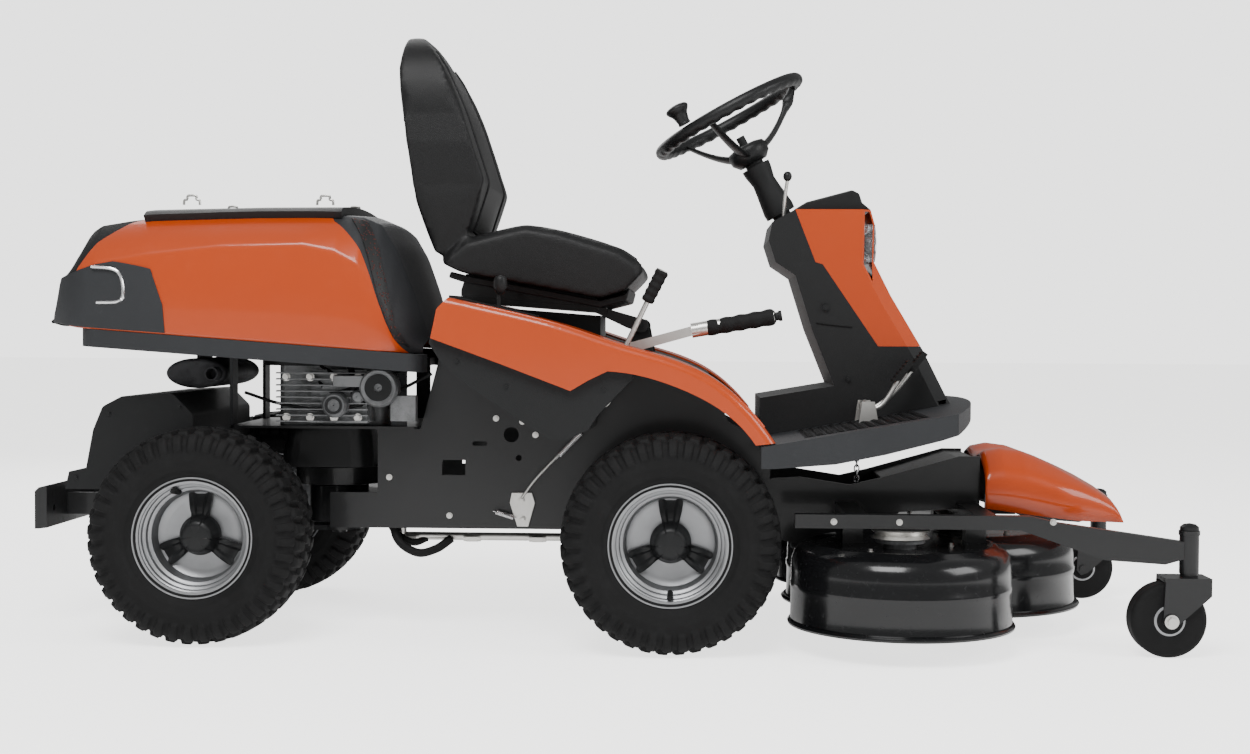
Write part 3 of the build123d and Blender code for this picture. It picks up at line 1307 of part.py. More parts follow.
def deck_block(inset, low, high, dome_r):
    """Plan of the deck extruded between two heights, with a dome over each spindle."""
    with BuildPart() as block:
        with BuildSketch(Plane.XY.offset(low)) as plan:
            with BuildLine():
                Polyline(*DECK_OUTLINE, *[(x, -y) for x, y in DECK_OUTLINE[::-1]], close=True)
            make_face()
            fillet(plan.vertices(), 22)
            if inset:
                offset(amount=-inset, mode=Mode.REPLACE)
        extrude(amount=high - low)
        with BuildSketch(Plane.XY.offset(high)):
            with Locations(*SPINDLES):
                Circle(dome_r)
        extrude(amount=DOME_Z - DECK_TOP, taper=40)
    return block.part


with BuildPart() as deck_shell:
    add(deck_block(0, DECK_BOTTOM, DECK_TOP, 84))
    add(deck_block(DECK_SHEET, DECK_BOTTOM - 1, DECK_TOP - DECK_SHEET, 82), mode=Mode.SUBTRACT)
    with BuildSketch(Plane.XY.offset(DECK_TOP - 20)):
        with Locations(*SPINDLES):
            Circle(HOUSING_R + GAP)
    extrude(amount=60, mode=Mode.SUBTRACT)
    with BuildSketch(Plane.XY.offset(DECK_BOTTOM)) as skirt_edge:
        with Locations((FRONT_X + 420, -DECK_WIDTH / 2 + 5), (FRONT_X + 420, DECK_WIDTH / 2 - 5)):
            Rectangle(150, 10)
    extrude(amount=8)
save(deck_shell.part, "deck_shell")

PULLEY_LOW = DOME_Z + 9
housings = []
for spindle_x, spindle_y in SPINDLES:
    with BuildPart() as housing:
        with BuildSketch(Plane.XY.offset(DECK_TOP - 46)):
            with Locations((spindle_x, spindle_y)):
                Circle(HOUSING_R)
        extrude(amount=DOME_Z + GAP - DECK_TOP + 46)
        with BuildSketch(Plane.XY.offset(DOME_Z + GAP)):
            with Locations((spindle_x, spindle_y)):
                Circle(HOUSING_R + 16)
        extrude(amount=6)
        with BuildSketch(Plane.XY.offset(DECK_TOP - 50)):
            with Locations((spindle_x, spindle_y)):
                Circle(SPINDLE_R + RUN_GAP)
        extrude(amount=90, mode=Mode.SUBTRACT)
    housings.append(housing.part.solid())
save(Compound(children=housings), "spindle_housings")


def blade(name, x, y, turn):
    """Bar with lifted trailing wings on a shaft that carries its drive pulley."""
    with BuildPart() as cutter:
        with BuildSketch(Plane.XY.offset(BLADE_Z)):
            Rectangle(2 * BLADE_R - 20, 56)
        extrude(amount=5)
        with BuildSketch(Plane.XY.offset(BLADE_Z)):
            Circle(BLADE_R)
        extrude(amount=40, mode=Mode.INTERSECT)
        for tip in (-1, 1):
            with Locations((tip * (BLADE_R - 45), tip * 24, BLADE_Z + 10)):
                Box(66, 5, 16)
        with BuildSketch(Plane.XY.offset(BLADE_Z - 12)):
            Circle(22)
        extrude(amount=46)
        with BuildSketch(Plane.XY.offset(BLADE_Z)):
            Circle(SPINDLE_R)
        extrude(amount=PULLEY_LOW + 15 - BLADE_Z)
        with BuildSketch(Plane.XZ):
            with BuildLine():
                Polyline(
                    (5, PULLEY_LOW), (PULLEY_R, PULLEY_LOW), (PULLEY_R - 9, PULLEY_LOW + 7), (PULLEY_R, PULLEY_LOW + 15),
                    (5, PULLEY_LOW + 15), close=True,
                )
            make_face()
        revolve(axis=Axis.Z)
    save(Pos(x, y, 0) * Rot(0, 0, turn) * cutter.part, name)


blade("blade_middle", MID_BLADE_X, 0, 20)
blade("blade_right", SIDE_BLADE_X, -BLADE_SIDE_Y, -35)
blade("blade_left", SIDE_BLADE_X, BLADE_SIDE_Y, -35)

# ---- cutting deck: cover over the drive, with two humps --------------------------------------------------------
COVER_SIDE = front(
    (612, 199), (612, 360), (656, 370), (714, 349), (811, 288), (859, 253), (882, 222), (870, 202), (840, 192),
    (835, DECK_TOP + GAP + 12), (650, DECK_TOP + GAP + 12),
)
COVER_Y = 165


def cover_block(inset):
    with BuildPart() as block:
        with BuildSketch(side_plane(0)):
            with BuildLine():
                low = DECK_TOP + GAP - (20 if inset else 0)
                Polyline(
                    (FRONT_X + 612 - 3 * inset, low), (FRONT_X + 612 - 3 * inset, COVER_SIDE[1][1] - inset),
                    *lowered(COVER_SIDE[2:6], inset * 1.3), (COVER_SIDE[6][0] - 1.5 * inset, COVER_SIDE[6][1]),
                    (FRONT_X + 868 - 2 * inset, COVER_SIDE[7][1]), (FRONT_X + 822 - inset, low), close=True,
                )
            make_face()
        extrude(amount=COVER_Y - inset, both=True)
        with BuildSketch(Plane.XY):
            with BuildLine():
                w = COVER_Y - inset
                Polyline(
                    (FRONT_X + 560, w), (FRONT_X + 560, -w), (FRONT_X + 740, -w), (FRONT_X + 850 - inset, -w + 45),
                    (FRONT_X + 882 - inset, -w + 90), (FRONT_X + 882 - inset, w - 90), (FRONT_X + 850 - inset, w - 45),
                    (FRONT_X + 740, w), close=True,
                )
            make_face()
        extrude(amount=AXLE_Z + 300, mode=Mode.INTERSECT)
        with BuildSketch(Plane.YZ.offset(FRONT_X + 500)):
            with BuildLine():
                t, w = COVER_SIDE[2][1] - inset, COVER_Y - inset
                Polyline(
                    (-w, 0), (-w, t - 60), (-w + 18, t - 22), (-115, t), (-62, t), (-30, t - 16), (30, t - 16),
                    (62, t), (115, t), (w - 18, t - 22), (w, t - 60), (w, 0), close=True,
                )
            make_face()
        extrude(amount=500, mode=Mode.INTERSECT)
    return block.part


with BuildPart() as deck_cover:
    add(cover_block(0))
    add(cover_block(SHELL), mode=Mode.SUBTRACT)
    with BuildSketch(Plane.XY.offset(DECK_TOP)):
        with Locations((MID_BLADE_X, 0)):
            Circle(88)
    extrude(amount=DOME_Z - DECK_TOP + 2, mode=Mode.SUBTRACT)
save(deck_cover.part, "deck_cover")

# ---- casters -----------------------------------------------------------------------------------------------------
FORK_TOP = AXLE_Z - 56
FORK_HALF = CASTER_W / 2 + 3
CASTER_X = KINGPIN_X - CASTER_TRAIL
for caster_side, caster_y in (("right", -ARM_Y), ("left", ARM_Y)):
    with BuildPart() as fork:
        with BuildSketch(side_plane(-caster_y - FORK_HALF - 6)):
            with BuildLine():
                Polyline(
                    (CASTER_X - 14, CASTER_R - 4), (CASTER_X - 4, CASTER_R - 15), (CASTER_X + 10, CASTER_R - 10),
                    (KINGPIN_X + 33, FORK_TOP - 32), (KINGPIN_X + 33, FORK_TOP), (CASTER_X - 10, FORK_TOP),
                    close=True,
                )
            make_face()
        extrude(amount=2 * FORK_HALF + 12)
        with Locations((CASTER_X, caster_y, FORK_TOP - 100)):
            Box(400, 2 * FORK_HALF, 184, mode=Mode.SUBTRACT)
        with BuildSketch(Plane.XY.offset(FORK_TOP - 4)):
            with Locations((KINGPIN_X, caster_y)):
                Circle(KINGPIN_R)
        extrude(amount=AXLE_Z + 32 - FORK_TOP + 4)
        with BuildSketch(Plane.XY.offset(AXLE_Z + 20 + GAP)):
            with Locations((KINGPIN_X, caster_y)):
                Circle(19)
        extrude(amount=8)
        with BuildSketch(Plane.XY.offset(FORK_TOP - 1)):
            with Locations((KINGPIN_X, caster_y)):
                Circle(16)
        extrude(amount=AXLE_Z - 50 - FORK_TOP + 1 - GAP)
        with BuildSketch(side_plane(-caster_y - FORK_HALF - 10)):
            with Locations((CASTER_X, CASTER_R)):
                Circle(CASTER_PIN_R)
        extrude(amount=2 * FORK_HALF + 20)
    save(fork.part, f"caster_fork_{caster_side}")
    with BuildPart() as roller:
        with BuildSketch(side_plane(-caster_y - CASTER_W / 2)):
            with Locations((CASTER_X, CASTER_R)):
                Circle(CASTER_R)
        extrude(amount=CASTER_W)
        fillet(roller.faces().filter_by(Axis.Y).edges(), 9)
        with BuildSketch(side_plane(-caster_y - CASTER_W / 2 - 2)):
            with Locations((CASTER_X, CASTER_R)):
                Circle(24)
        extrude(amount=CASTER_W + 4)
        with BuildSketch(side_plane(-caster_y - CASTER_W)):
            with Locations((CASTER_X, CASTER_R)):
                Circle(CASTER_PIN_R + RUN_GAP)
        extrude(amount=2 * CASTER_W, mode=Mode.SUBTRACT)
    save(roller.part, f"caster_wheel_{caster_side}")
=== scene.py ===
import json
import math

import bmesh
import bpy
import numpy as np
from mathutils import Matrix, Vector


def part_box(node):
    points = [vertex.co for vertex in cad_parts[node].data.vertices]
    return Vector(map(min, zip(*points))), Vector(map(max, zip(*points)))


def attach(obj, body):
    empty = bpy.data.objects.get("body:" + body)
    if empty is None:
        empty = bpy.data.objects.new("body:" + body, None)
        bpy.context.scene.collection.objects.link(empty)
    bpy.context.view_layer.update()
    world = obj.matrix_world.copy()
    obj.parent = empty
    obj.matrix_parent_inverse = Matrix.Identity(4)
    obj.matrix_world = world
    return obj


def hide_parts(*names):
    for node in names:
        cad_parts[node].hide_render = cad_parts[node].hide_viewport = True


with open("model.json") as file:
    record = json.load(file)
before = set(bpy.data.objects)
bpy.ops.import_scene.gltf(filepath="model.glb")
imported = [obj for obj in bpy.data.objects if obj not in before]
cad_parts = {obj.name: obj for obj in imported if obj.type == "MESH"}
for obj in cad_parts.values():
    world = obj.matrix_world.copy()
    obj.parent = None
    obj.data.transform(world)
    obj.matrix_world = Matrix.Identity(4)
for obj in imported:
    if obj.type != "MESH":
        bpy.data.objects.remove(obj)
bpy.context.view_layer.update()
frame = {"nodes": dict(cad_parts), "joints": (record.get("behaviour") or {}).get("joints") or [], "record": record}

bl_info = {
    "name": "Riding Lawn Mower Builder",
    "version": (1, 0, 0),
    "blender": (4, 5, 0),
    "location": "View3D > Sidebar > Mower",
    "description": "Builds the visual model of an articulated ride-on mower around its fixed frame",
    "category": "Add Mesh",
}

MM = 0.001
SIDES = (("right", -1), ("left", 1))


def middle(node):
    """Centre of a node's box."""
    low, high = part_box(node)
    return np.array((low + high) / 2)


def far(node, axis):
    """Highest corner of a node's box along one axis."""
    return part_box(node)[1][axis]


def near(node, axis):
    """Lowest corner of a node's box along one axis."""
    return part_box(node)[0][axis]


FRONT_X = middle("tyre_front_right")[0]
TYRE_R = (far("tyre_front_right", 2) - near("tyre_front_right", 2)) / 2
HOOD_HALF = far("hood_shell", 1)


# ---- shapes: each returns (points, faces), joined into a piece by build() -------------------------------
def places(rows):
    """Rows of (x from the front axle, z from the ground) in millimetres as metres in the frame."""
    rows = np.array(rows, float) * MM
    rows[:, 0] += FRONT_X
    return rows


def smooth_line(points, count, closed=False):
    """Catmull-Rom curve through the points: on each span the cubic whose end slopes are half the chord
    between the neighbours, sampled evenly in span number."""
    p = np.array(points, float)
    if closed:
        p = np.vstack([p[-1:], p, p[:2]])
        t = np.linspace(0, len(points), count, endpoint=False)
    else:
        p = np.vstack([2 * p[:1] - p[1:2], p, 2 * p[-1:] - p[-2:-1]])
        t = np.linspace(0, len(points) - 1, count)
    i = np.minimum(t.astype(int), len(p) - 4)
    f = (t - i)[:, None]
    a, b, c, d = p[i], p[i + 1], p[i + 2], p[i + 3]
    return 0.5 * (2 * b + (c - a) * f + (2 * a - 5 * b + 4 * c - d) * f**2 + (3 * b - a - 3 * c + d) * f**3)


def step(x, low, high):
    """Smooth step: 3t^2 - 2t^3 of x between low and high."""
    t = np.clip((x - low) / (high - low), 0, 1)
    return t * t * (3 - 2 * t)


def pulse(phase, duty, edge):
    """1 inside a share of each unit of phase and 0 outside it, with soft edges."""
    f = np.abs((phase % 1) - 0.5)
    return 1 - step(f, duty / 2 - edge, duty / 2 + edge)


def grid(points, wrap_u=False, wrap_v=False, cap_u=False):
    """Quads over a (u, v, 3) array; wrap joins the last row or column to the first, cap_u closes both end
    rows of a grid that wraps in v with one face each."""
    nu, nv = points.shape[:2]
    index = np.arange(nu * nv).reshape(nu, nv)
    rows = np.vstack([index, index[:1]]) if wrap_u else index
    if wrap_v:
        rows = np.hstack([rows, rows[:, :1]])
    quads = np.stack([rows[:-1, :-1], rows[1:, :-1], rows[1:, 1:], rows[:-1, 1:]], -1).reshape(-1, 4)
    faces = quads.tolist()
    if cap_u:
        faces.append(index[0].tolist())
        faces.append(index[-1][::-1].tolist())
    return points.reshape(-1, 3), faces


def turned(profile, centre, axis=(0, 1, 0), count=96, lift=None):
    """Surface of revolution: a closed line of (along, radius) points turned once about an axis; lift(angle,
    rows) adds to them."""
    axis = np.array(Vector(axis).normalized())
    side = np.array(Vector(axis).orthogonal().normalized())
    up = np.cross(axis, side)
    angles = np.linspace(0, 2 * math.pi, count, endpoint=False)
    rows = np.broadcast_to(np.array(profile, float), (count, len(profile), 2)).copy()
    if lift is not None:
        rows = rows + lift(angles[:, None], rows)
    ring = np.cos(angles)[:, None, None] * side + np.sin(angles)[:, None, None] * up
    points = np.array(centre) + rows[..., :1] * axis + rows[..., 1:] * ring
    return grid(points, wrap_u=True, wrap_v=True)


def tube(path, radius, sides=12, flat=1.0):
    """Circle of the radius, or an ellipse when flat isn't 1, carried along a path on the path's own frame."""
    path = np.array(path, float)
    tangent = np.gradient(path, axis=0)
    tangent /= np.linalg.norm(tangent, axis=1)[:, None]
    normal = np.cross(tangent, np.array([0.31, 0.17, 0.93]))
    normal /= np.linalg.norm(normal, axis=1)[:, None]
    across = np.cross(tangent, normal)
    angle = np.linspace(0, 2 * math.pi, sides, endpoint=False)[None, :, None]
    r = np.broadcast_to(np.array(radius, float), (len(path),))[:, None, None]
    ring = np.cos(angle) * normal[:, None] + flat * np.sin(angle) * across[:, None]
    return grid(path[:, None] + r * ring, wrap_v=True, cap_u=True)


def rod(a, b, radius, sides=16):
    """Straight round bar between two points."""
    return tube([a, b], radius, sides)


def prism(outline, low, high):
    """An (x, z) outline carried straight across from y low to y high, with flat ends."""
    outline = np.array(outline, float)
    ends = [np.insert(outline, 1, y, axis=1) for y in (low, high)]
    return grid(np.array(ends), wrap_v=True, cap_u=True)


def slab(centre, size):
    """Rectangular block."""
    (x, y, z), (a, b, c) = centre, np.array(size) / 2
    outline = [(x - a, z - c), (x + a, z - c), (x + a, z + c), (x - a, z + c)]
    return prism(outline, y - b, y + b)


def nut(at, axis, radius, height, sides=6):
    """Hexagon head on a round washer."""
    axis = np.array(Vector(axis).normalized())
    at = np.array(at, float)
    washer = rod(at - axis * 0.002, at + axis * height * 0.25, radius * 1.45, 20)
    return join([washer, rod(at, at + axis * height, radius, sides)])


def join(shapes):
    """Several shapes as one."""
    points, faces, base = [], [], 0
    for p, f in shapes:
        points.append(p)
        faces += [[i + base for i in face] for face in f]
        base += len(p)
    return np.vstack(points), faces


def mirrored(shape):
    """The same shape on the other side of the machine."""
    points, faces = shape
    return points * np.array([1, -1, 1]), [face[::-1] for face in faces]


def both(shape):
    """A shape and its mirror image as one."""
    return join([shape, mirrored(shape)])


# ---- finishes ------------------------------------------------------------------------------------------
FINISHES = {}
# The first finish of a slot is the one that the frame's own nodes get.
SLOTS = {"body": "orange_plastic", "trim": "black_plastic", "satin": "black_plastic", "steel": "frame_paint",
         "deck": "deck_paint", "grey": "grey_plastic", "rim": "rim_paint", "rubber": "tyre_rubber",
         "grip": "rubber", "vinyl": "seat_vinyl", "plated": "zinc_steel", "bright": "zinc_steel",
         "casting": "cast_alloy", "iron": "cast_iron", "mesh": "black_plastic", "lens": "lamp_glass",}


def build(name, shapes, finish, body, node=(), angle=35, bevel=0.0, wall=0.0, levels=0):
    """Joins shapes into one piece, with outward faces, a finish and a body to ride on."""
    points, faces = join(shapes) if isinstance(shapes, list) else shapes
    mesh = bpy.data.meshes.new(name)
    mesh.from_pydata(points.tolist(), [], faces)
    work = bmesh.new()
    work.from_mesh(mesh)
    bmesh.ops.remove_doubles(work, verts=work.verts, dist=1e-6)
    bmesh.ops.recalc_face_normals(work, faces=work.faces)
    work.to_mesh(mesh)
    work.free()
    piece = bpy.data.objects.new(name, mesh)
    bpy.context.scene.collection.objects.link(piece)
    mesh.materials.append(FINISHES[finish])
    if angle:
        mesh.shade_smooth()
        mesh.set_sharp_from_angle(angle=math.radians(angle))
    if wall:
        solid = piece.modifiers.new("wall", "SOLIDIFY")
        solid.thickness = wall
        solid.offset = -1
    if bevel:
        round_off = piece.modifiers.new("edges", "BEVEL")
        round_off.width = bevel
        round_off.segments = 2
        round_off.limit_method = "ANGLE"
        round_off.angle_limit = math.radians(35)
        round_off.harden_normals = True
    if levels:
        soft = piece.modifiers.new("soft", "SUBSURF")
        soft.levels = soft.render_levels = levels
    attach(piece, body)
    if node:
        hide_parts(*([node] if isinstance(node, str) else node))
    return piece


class Value:
    """A node socket that adds Math nodes when it is used in an expression."""

    def __init__(self, tree, socket):
        self.tree, self.socket = tree, socket

    def math(self, operation, a, b=0.0):
        return self.tree.node("ShaderNodeMath", {"operation": operation}, {0: a, 1: b})

    def __add__(self, other):
        return self.math("ADD", self, other)

    __radd__ = __add__

    def __mul__(self, other):
        return self.math("MULTIPLY", self, other)

    __rmul__ = __mul__

    def __sub__(self, other):
        return self.math("SUBTRACT", self, other)

    def __rsub__(self, other):
        return self.math("SUBTRACT", other, self)

    def clamp(self):
        return self.math("MINIMUM", self.math("MAXIMUM", self, 0.0), 1.0)

    def over(self, low, high):
        """0 below low, 1 above high, and a smooth ramp between."""
        return self.tree.node("ShaderNodeMapRange", {"interpolation_type": "SMOOTHSTEP"},
                              {0: self, 1: low, 2: high, 3: 0.0, 4: 1.0})


class Tree:
    """A material's node tree with one method for every node."""

    def __init__(self, name):
        self.material = bpy.data.materials.new(name)
        self.material.use_nodes = True
        self.nodes = self.material.node_tree.nodes
        self.links = self.material.node_tree.links
        self.shader = self.nodes["Principled BSDF"]

    def node(self, kind, settings=None, inputs=None, out=0):
        made = self.nodes.new(kind)
        for key, value in (settings or {}).items():
            setattr(made, key, value)
        for key, value in (inputs or {}).items():
            self.plug(made.inputs[key], value)
        return Value(self, made.outputs[out])

    def plug(self, socket, value):
        if isinstance(value, Value):
            self.links.new(value.socket, socket)
        else:
            socket.default_value = value

    def place(self):
        return self.node("ShaderNodeTexCoord", out="Object")

    def noise(self, scale, detail=3.0, rough=0.5, vector=None):
        vector = vector or self.place()
        inputs = {"Vector": vector, "Scale": scale, "Detail": detail, "Roughness": rough}
        return self.node("ShaderNodeTexNoise", inputs=inputs)

    def cells(self, scale, feature="F1"):
        inputs = {"Vector": self.place(), "Scale": scale}
        return self.node("ShaderNodeTexVoronoi", {"feature": feature}, inputs)

    def stretched(self, scale):
        return self.node("ShaderNodeMapping", inputs={"Vector": self.place(), "Scale": scale})

    def mix(self, factor, a, b):
        made = self.nodes.new("ShaderNodeMix")
        made.data_type = "RGBA"
        for key, value in ((0, factor), (6, a), (7, b)):
            self.plug(made.inputs[key], value)
        return Value(self, made.outputs[2])

    def bump(self, height, strength, distance):
        inputs = {"Height": height, "Strength": strength, "Distance": distance}
        return self.node("ShaderNodeBump", inputs=inputs)

    def finish(self, **sockets):
        for key, value in sockets.items():
            self.plug(self.shader.inputs[key.replace("_", " ")], value)
        return self.material


def shade(colour, factor):
    """A colour times a factor, opaque."""
    return (*(min(1.0, c * factor) for c in colour[:3]), 1.0)


def moulded_gloss(name, colour):
    """Glossy moulded panel: a faint flow variation in colour, orange peel in the clear coat."""
    t = Tree(name)
    flow = t.noise(2.2, 2.0)
    peel = t.noise(420.0, 2.0)
    dust = t.noise(38.0, 6.0, 0.7).over(0.5, 0.75)
    return t.finish(
        Base_Color=t.mix(flow, shade(colour, 0.9), shade(colour, 1.04)),
        Roughness=0.34 + dust * 0.1 + flow * 0.05,
        Specular_IOR_Level=0.4, Coat_Weight=0.6, Coat_Roughness=0.07,
        Normal=t.bump(peel, 0.05, 0.0004),
    )


def grained_plastic(name, colour, rough=0.55, grain=900.0, depth=0.25):
    """Spark-textured moulding: fine cells in the bump, soft wear in the roughness."""
    t = Tree(name)
    spark = t.cells(grain)
    cloud = t.noise(9.0, 4.0)
    scuff = t.noise(60.0, 8.0, 0.75).over(0.56, 0.75)
    return t.finish(
        Base_Color=t.mix((cloud * 0.6 + scuff * 0.4).clamp(), shade(colour, 0.8), shade(colour, 1.35)),
        Roughness=rough + cloud * 0.1 - scuff * 0.08,
        Specular_IOR_Level=0.32,
        Normal=t.bump(spark, depth, 0.0006),
    )


def gloss_enamel(name, colour, rough=0.22):
    """Sprayed enamel on sheet steel: long waves, orange peel and a little dust lying on the top."""
    t = Tree(name)
    wave = t.noise(7.0, 2.0)
    peel = t.noise(300.0, 2.0)
    dust = t.noise(90.0, 8.0, 0.7).over(0.5, 0.8)
    return t.finish(
        Base_Color=t.mix(dust * 0.4, shade(colour, 1.0), shade(colour, 2.2)),
        Specular_IOR_Level=0.38,
        Roughness=rough + dust * 0.22 + wave * 0.06,
        Coat_Weight=0.3, Coat_Roughness=0.12,
        Normal=t.bump(wave * 0.7 + peel * 0.05, 0.25, 0.002),
    )


def tyre_rubber(name, colour):
    """Black tyre rubber with moulding swirl and dry dust in the recesses."""
    t = Tree(name)
    swirl = t.noise(26.0, 8.0, 0.7)
    fine = t.noise(700.0, 3.0)
    return t.finish(
        Base_Color=t.mix(swirl.over(0.42, 0.8), shade(colour, 0.8), shade(colour, 2.1)),
        Roughness=0.66 + swirl * 0.2,
        Specular_IOR_Level=0.28,
        Normal=t.bump(swirl * 0.4 + fine * 0.35, 0.3, 0.001),
    )


def metal(name, colour, rough=0.3, grain=(30.0, 400.0, 30.0), tarnish=0.3):
    """Bare or plated metal: long fine scratches along one direction and cloudy tarnish."""
    t = Tree(name)
    lines = t.noise(3.0, 4.0, 0.6, t.stretched(grain))
    cloud = t.noise(22.0, 5.0, 0.6)
    return t.finish(
        Base_Color=t.mix(cloud.over(0.4, 0.75) * tarnish, shade(colour, 1.0), shade(colour, 0.6)),
        Metallic=1.0,
        Roughness=rough + lines * 0.12 + cloud * 0.08,
        Normal=t.bump(lines, 0.06, 0.0005),
    )


def cast_metal(name, colour, rough=0.5):
    """Sand or die casting: pebbled bump, darker and rougher in random cloudy patches."""
    t = Tree(name)
    pebble = t.cells(520.0)
    # Random cloudy noise that darkens the colour towards 0.45 of itself and roughens the surface in patches.
    dark_patches = t.noise(14.0, 6.0, 0.65)
    return t.finish(
        Base_Color=t.mix(dark_patches.over(0.42, 0.7), shade(colour, 1.0), shade(colour, 0.45)),
        Metallic=0.85,
        Roughness=rough + dark_patches * 0.15,
        Normal=t.bump(pebble, 0.35, 0.0008),
    )


def seat_vinyl(name, colour):
    """Padded vinyl: pebbled leather grain at two sizes, slightly shinier where it is sat on."""
    t = Tree(name)
    grain = t.cells(330.0, "DISTANCE_TO_EDGE")
    pores = t.cells(900.0)
    rub = t.noise(6.0, 3.0)
    return t.finish(
        Base_Color=t.mix(rub, shade(colour, 0.85), shade(colour, 1.25)),
        Roughness=0.42 + rub * 0.14,
        Specular_IOR_Level=0.32,
        Normal=t.bump(grain.over(0.0, 0.12) * 0.8 + pores * 0.2, 0.3, 0.0007),
    )


def wire_mesh(name, colour, glow):
    """Punched black screen: rows of round holes, darker inside, over warm-coloured parts behind."""
    t = Tree(name)
    holes = t.cells(170.0)
    mask = holes.over(0.22, 0.34)
    return t.finish(
        Base_Color=t.mix(mask, shade(glow, 1.0), shade(colour, 1.0)),
        Roughness=0.75 - mask * 0.25,
        Normal=t.bump(mask, 0.7, 0.002),
    )


def clear_lens(name):
    """Clear moulded lens with faint flutes."""
    t = Tree(name)
    inputs = {"Vector": t.place(), "Scale": 40.0}
    flute = t.node("ShaderNodeTexWave", {"bands_direction": "Y"}, inputs, out="Fac")
    return t.finish(
        Base_Color=(0.93, 0.95, 0.97, 1.0), Roughness=0.06, Transmission_Weight=0.9, IOR=1.45,
        Normal=t.bump(flute, 0.25, 0.001),
    )


def pale_floor(name, colour):
    """Matt studio paper with a barely visible tooth."""
    t = Tree(name)
    tooth = t.noise(180.0, 3.0)
    seen = t.node("ShaderNodeLightPath", out="Is Camera Ray")
    return t.finish(Base_Color=t.mix(tooth, shade(colour, 0.995), shade(colour, 1.0)), Roughness=0.95,
                    Specular_IOR_Level=0.05, Emission_Color=t.mix(seen, (0.25, 0.25, 0.25, 1.0),
                                                                  (1.0, 1.0, 0.99, 1.0)),
                    Emission_Strength=2.0,)


# ---- settings ------------------------------------------------------------------------------------------
def colour_setting(name, words, value):
    return bpy.props.FloatVectorProperty(
        name=name, description=words, subtype="COLOR", size=3, min=0, max=1, default=value
    )


def length_setting(name, words, value):
    return bpy.props.FloatProperty(name=name, description=words, subtype="DISTANCE", unit="LENGTH",
                                   default=value, min=0)


class MowerColours(bpy.types.PropertyGroup):
    """Colours of the mower's finishes."""

    body: colour_setting("Body", "Moulded body panels", (0.50, 0.052, 0.0002))
    trim: colour_setting("Trim", "Black moulded trim", (0.0085, 0.009, 0.0095))
    steel: colour_setting("Chassis", "Powder-coated chassis", (0.007, 0.0072, 0.0078))
    deck: colour_setting("Deck", "Enamel of the cutting deck", (0.006, 0.0062, 0.0068))
    grey: colour_setting("Dark grey", "Grey moulded panels", (0.026, 0.0275, 0.03))
    rim: colour_setting("Rims", "Silver wheel enamel", (0.36, 0.365, 0.375))
    rubber: colour_setting("Rubber", "Tyres, grips and pads", (0.0045, 0.0045, 0.0047))
    seat: colour_setting("Seat", "Seat vinyl", (0.0055, 0.0056, 0.006))
    plated: colour_setting("Plated steel", "Zinc-plated rods and screws", (0.72, 0.71, 0.68))
    casting: colour_setting("Castings", "Engine and axle castings", (0.26, 0.265, 0.27))
    floor: colour_setting("Floor", "Studio paper", (0.93, 0.93, 0.925))


class MowerSizes(bpy.types.PropertyGroup):
    """Sizes of the details that the frame leaves open."""

    lug_count: bpy.props.IntProperty(name="Tread lugs", description="Tread lugs around each tyre",
                                     default=40, min=8)
    lug_height: length_setting("Lug height", "Depth of the tyre tread", 0.008)
    panel_wall: length_setting("Panel wall", "Thickness of moulded panels", 0.004)
    piping: length_setting("Piping", "Radius of the seat's piping", 0.0028)
    rim_tube: length_setting("Wheel rim tube", "Radius of the steering wheel's rim", 0.0135)
    bolt: length_setting("Bolt head", "Radius of the usual bolt head", 0.0042)


class MOWER_OT_finishes(bpy.types.Operator):
    """Makes the procedural finishes and gives every frame node the one for its material"""

    bl_idname = "mower.finishes"
    bl_label = "Finishes"

    def execute(self, context):
        c = context.scene.mower_colours
        FINISHES.update(
            body=moulded_gloss("body_orange", c.body),
            trim=grained_plastic("trim_black", c.trim),
            satin=grained_plastic("satin_black", c.trim, 0.38, 1400.0, 0.12),
            steel=gloss_enamel("chassis_black", c.steel, 0.4),
            deck=gloss_enamel("deck_enamel", c.deck, 0.16),
            grey=grained_plastic("panel_grey", c.grey, 0.5),
            rim=metal("rim_silver", c.rim, 0.36, (20.0, 20.0, 20.0), 0.15),
            rubber=tyre_rubber("tyre_rubber", c.rubber),
            grip=grained_plastic("grip_rubber", c.rubber, 0.7, 600.0, 0.3),
            vinyl=seat_vinyl("seat_vinyl", c.seat),
            plated=metal("zinc_plate", c.plated, 0.28),
            bright=metal("bright_steel", (0.82, 0.82, 0.83), 0.12, tarnish=0.1),
            casting=cast_metal("alloy_casting", c.casting),
            iron=cast_metal("iron_casting", (0.09, 0.09, 0.095), 0.6),
            mesh=wire_mesh("grille_mesh", c.trim, (0.07, 0.012, 0.008)),
            lens=clear_lens("lamp_lens"),
        )
        by_slot = {slot: name for name, slot in reversed(SLOTS.items())}
        by_node = {"caster_fork_left": "steel", "caster_fork_right": "steel", "seat_rails": "steel",
                   "muffler": "iron", "engine_cowl": "satin", "hood_tray": "grey"}
        for part in frame["record"]["subparts"]:
            node = frame["nodes"][part["node"]]
            node.data.materials.clear()
            node.data.materials.append(FINISHES[by_node.get(part["node"], by_slot[part["material_slot"]])])
        return {"FINISHED"}


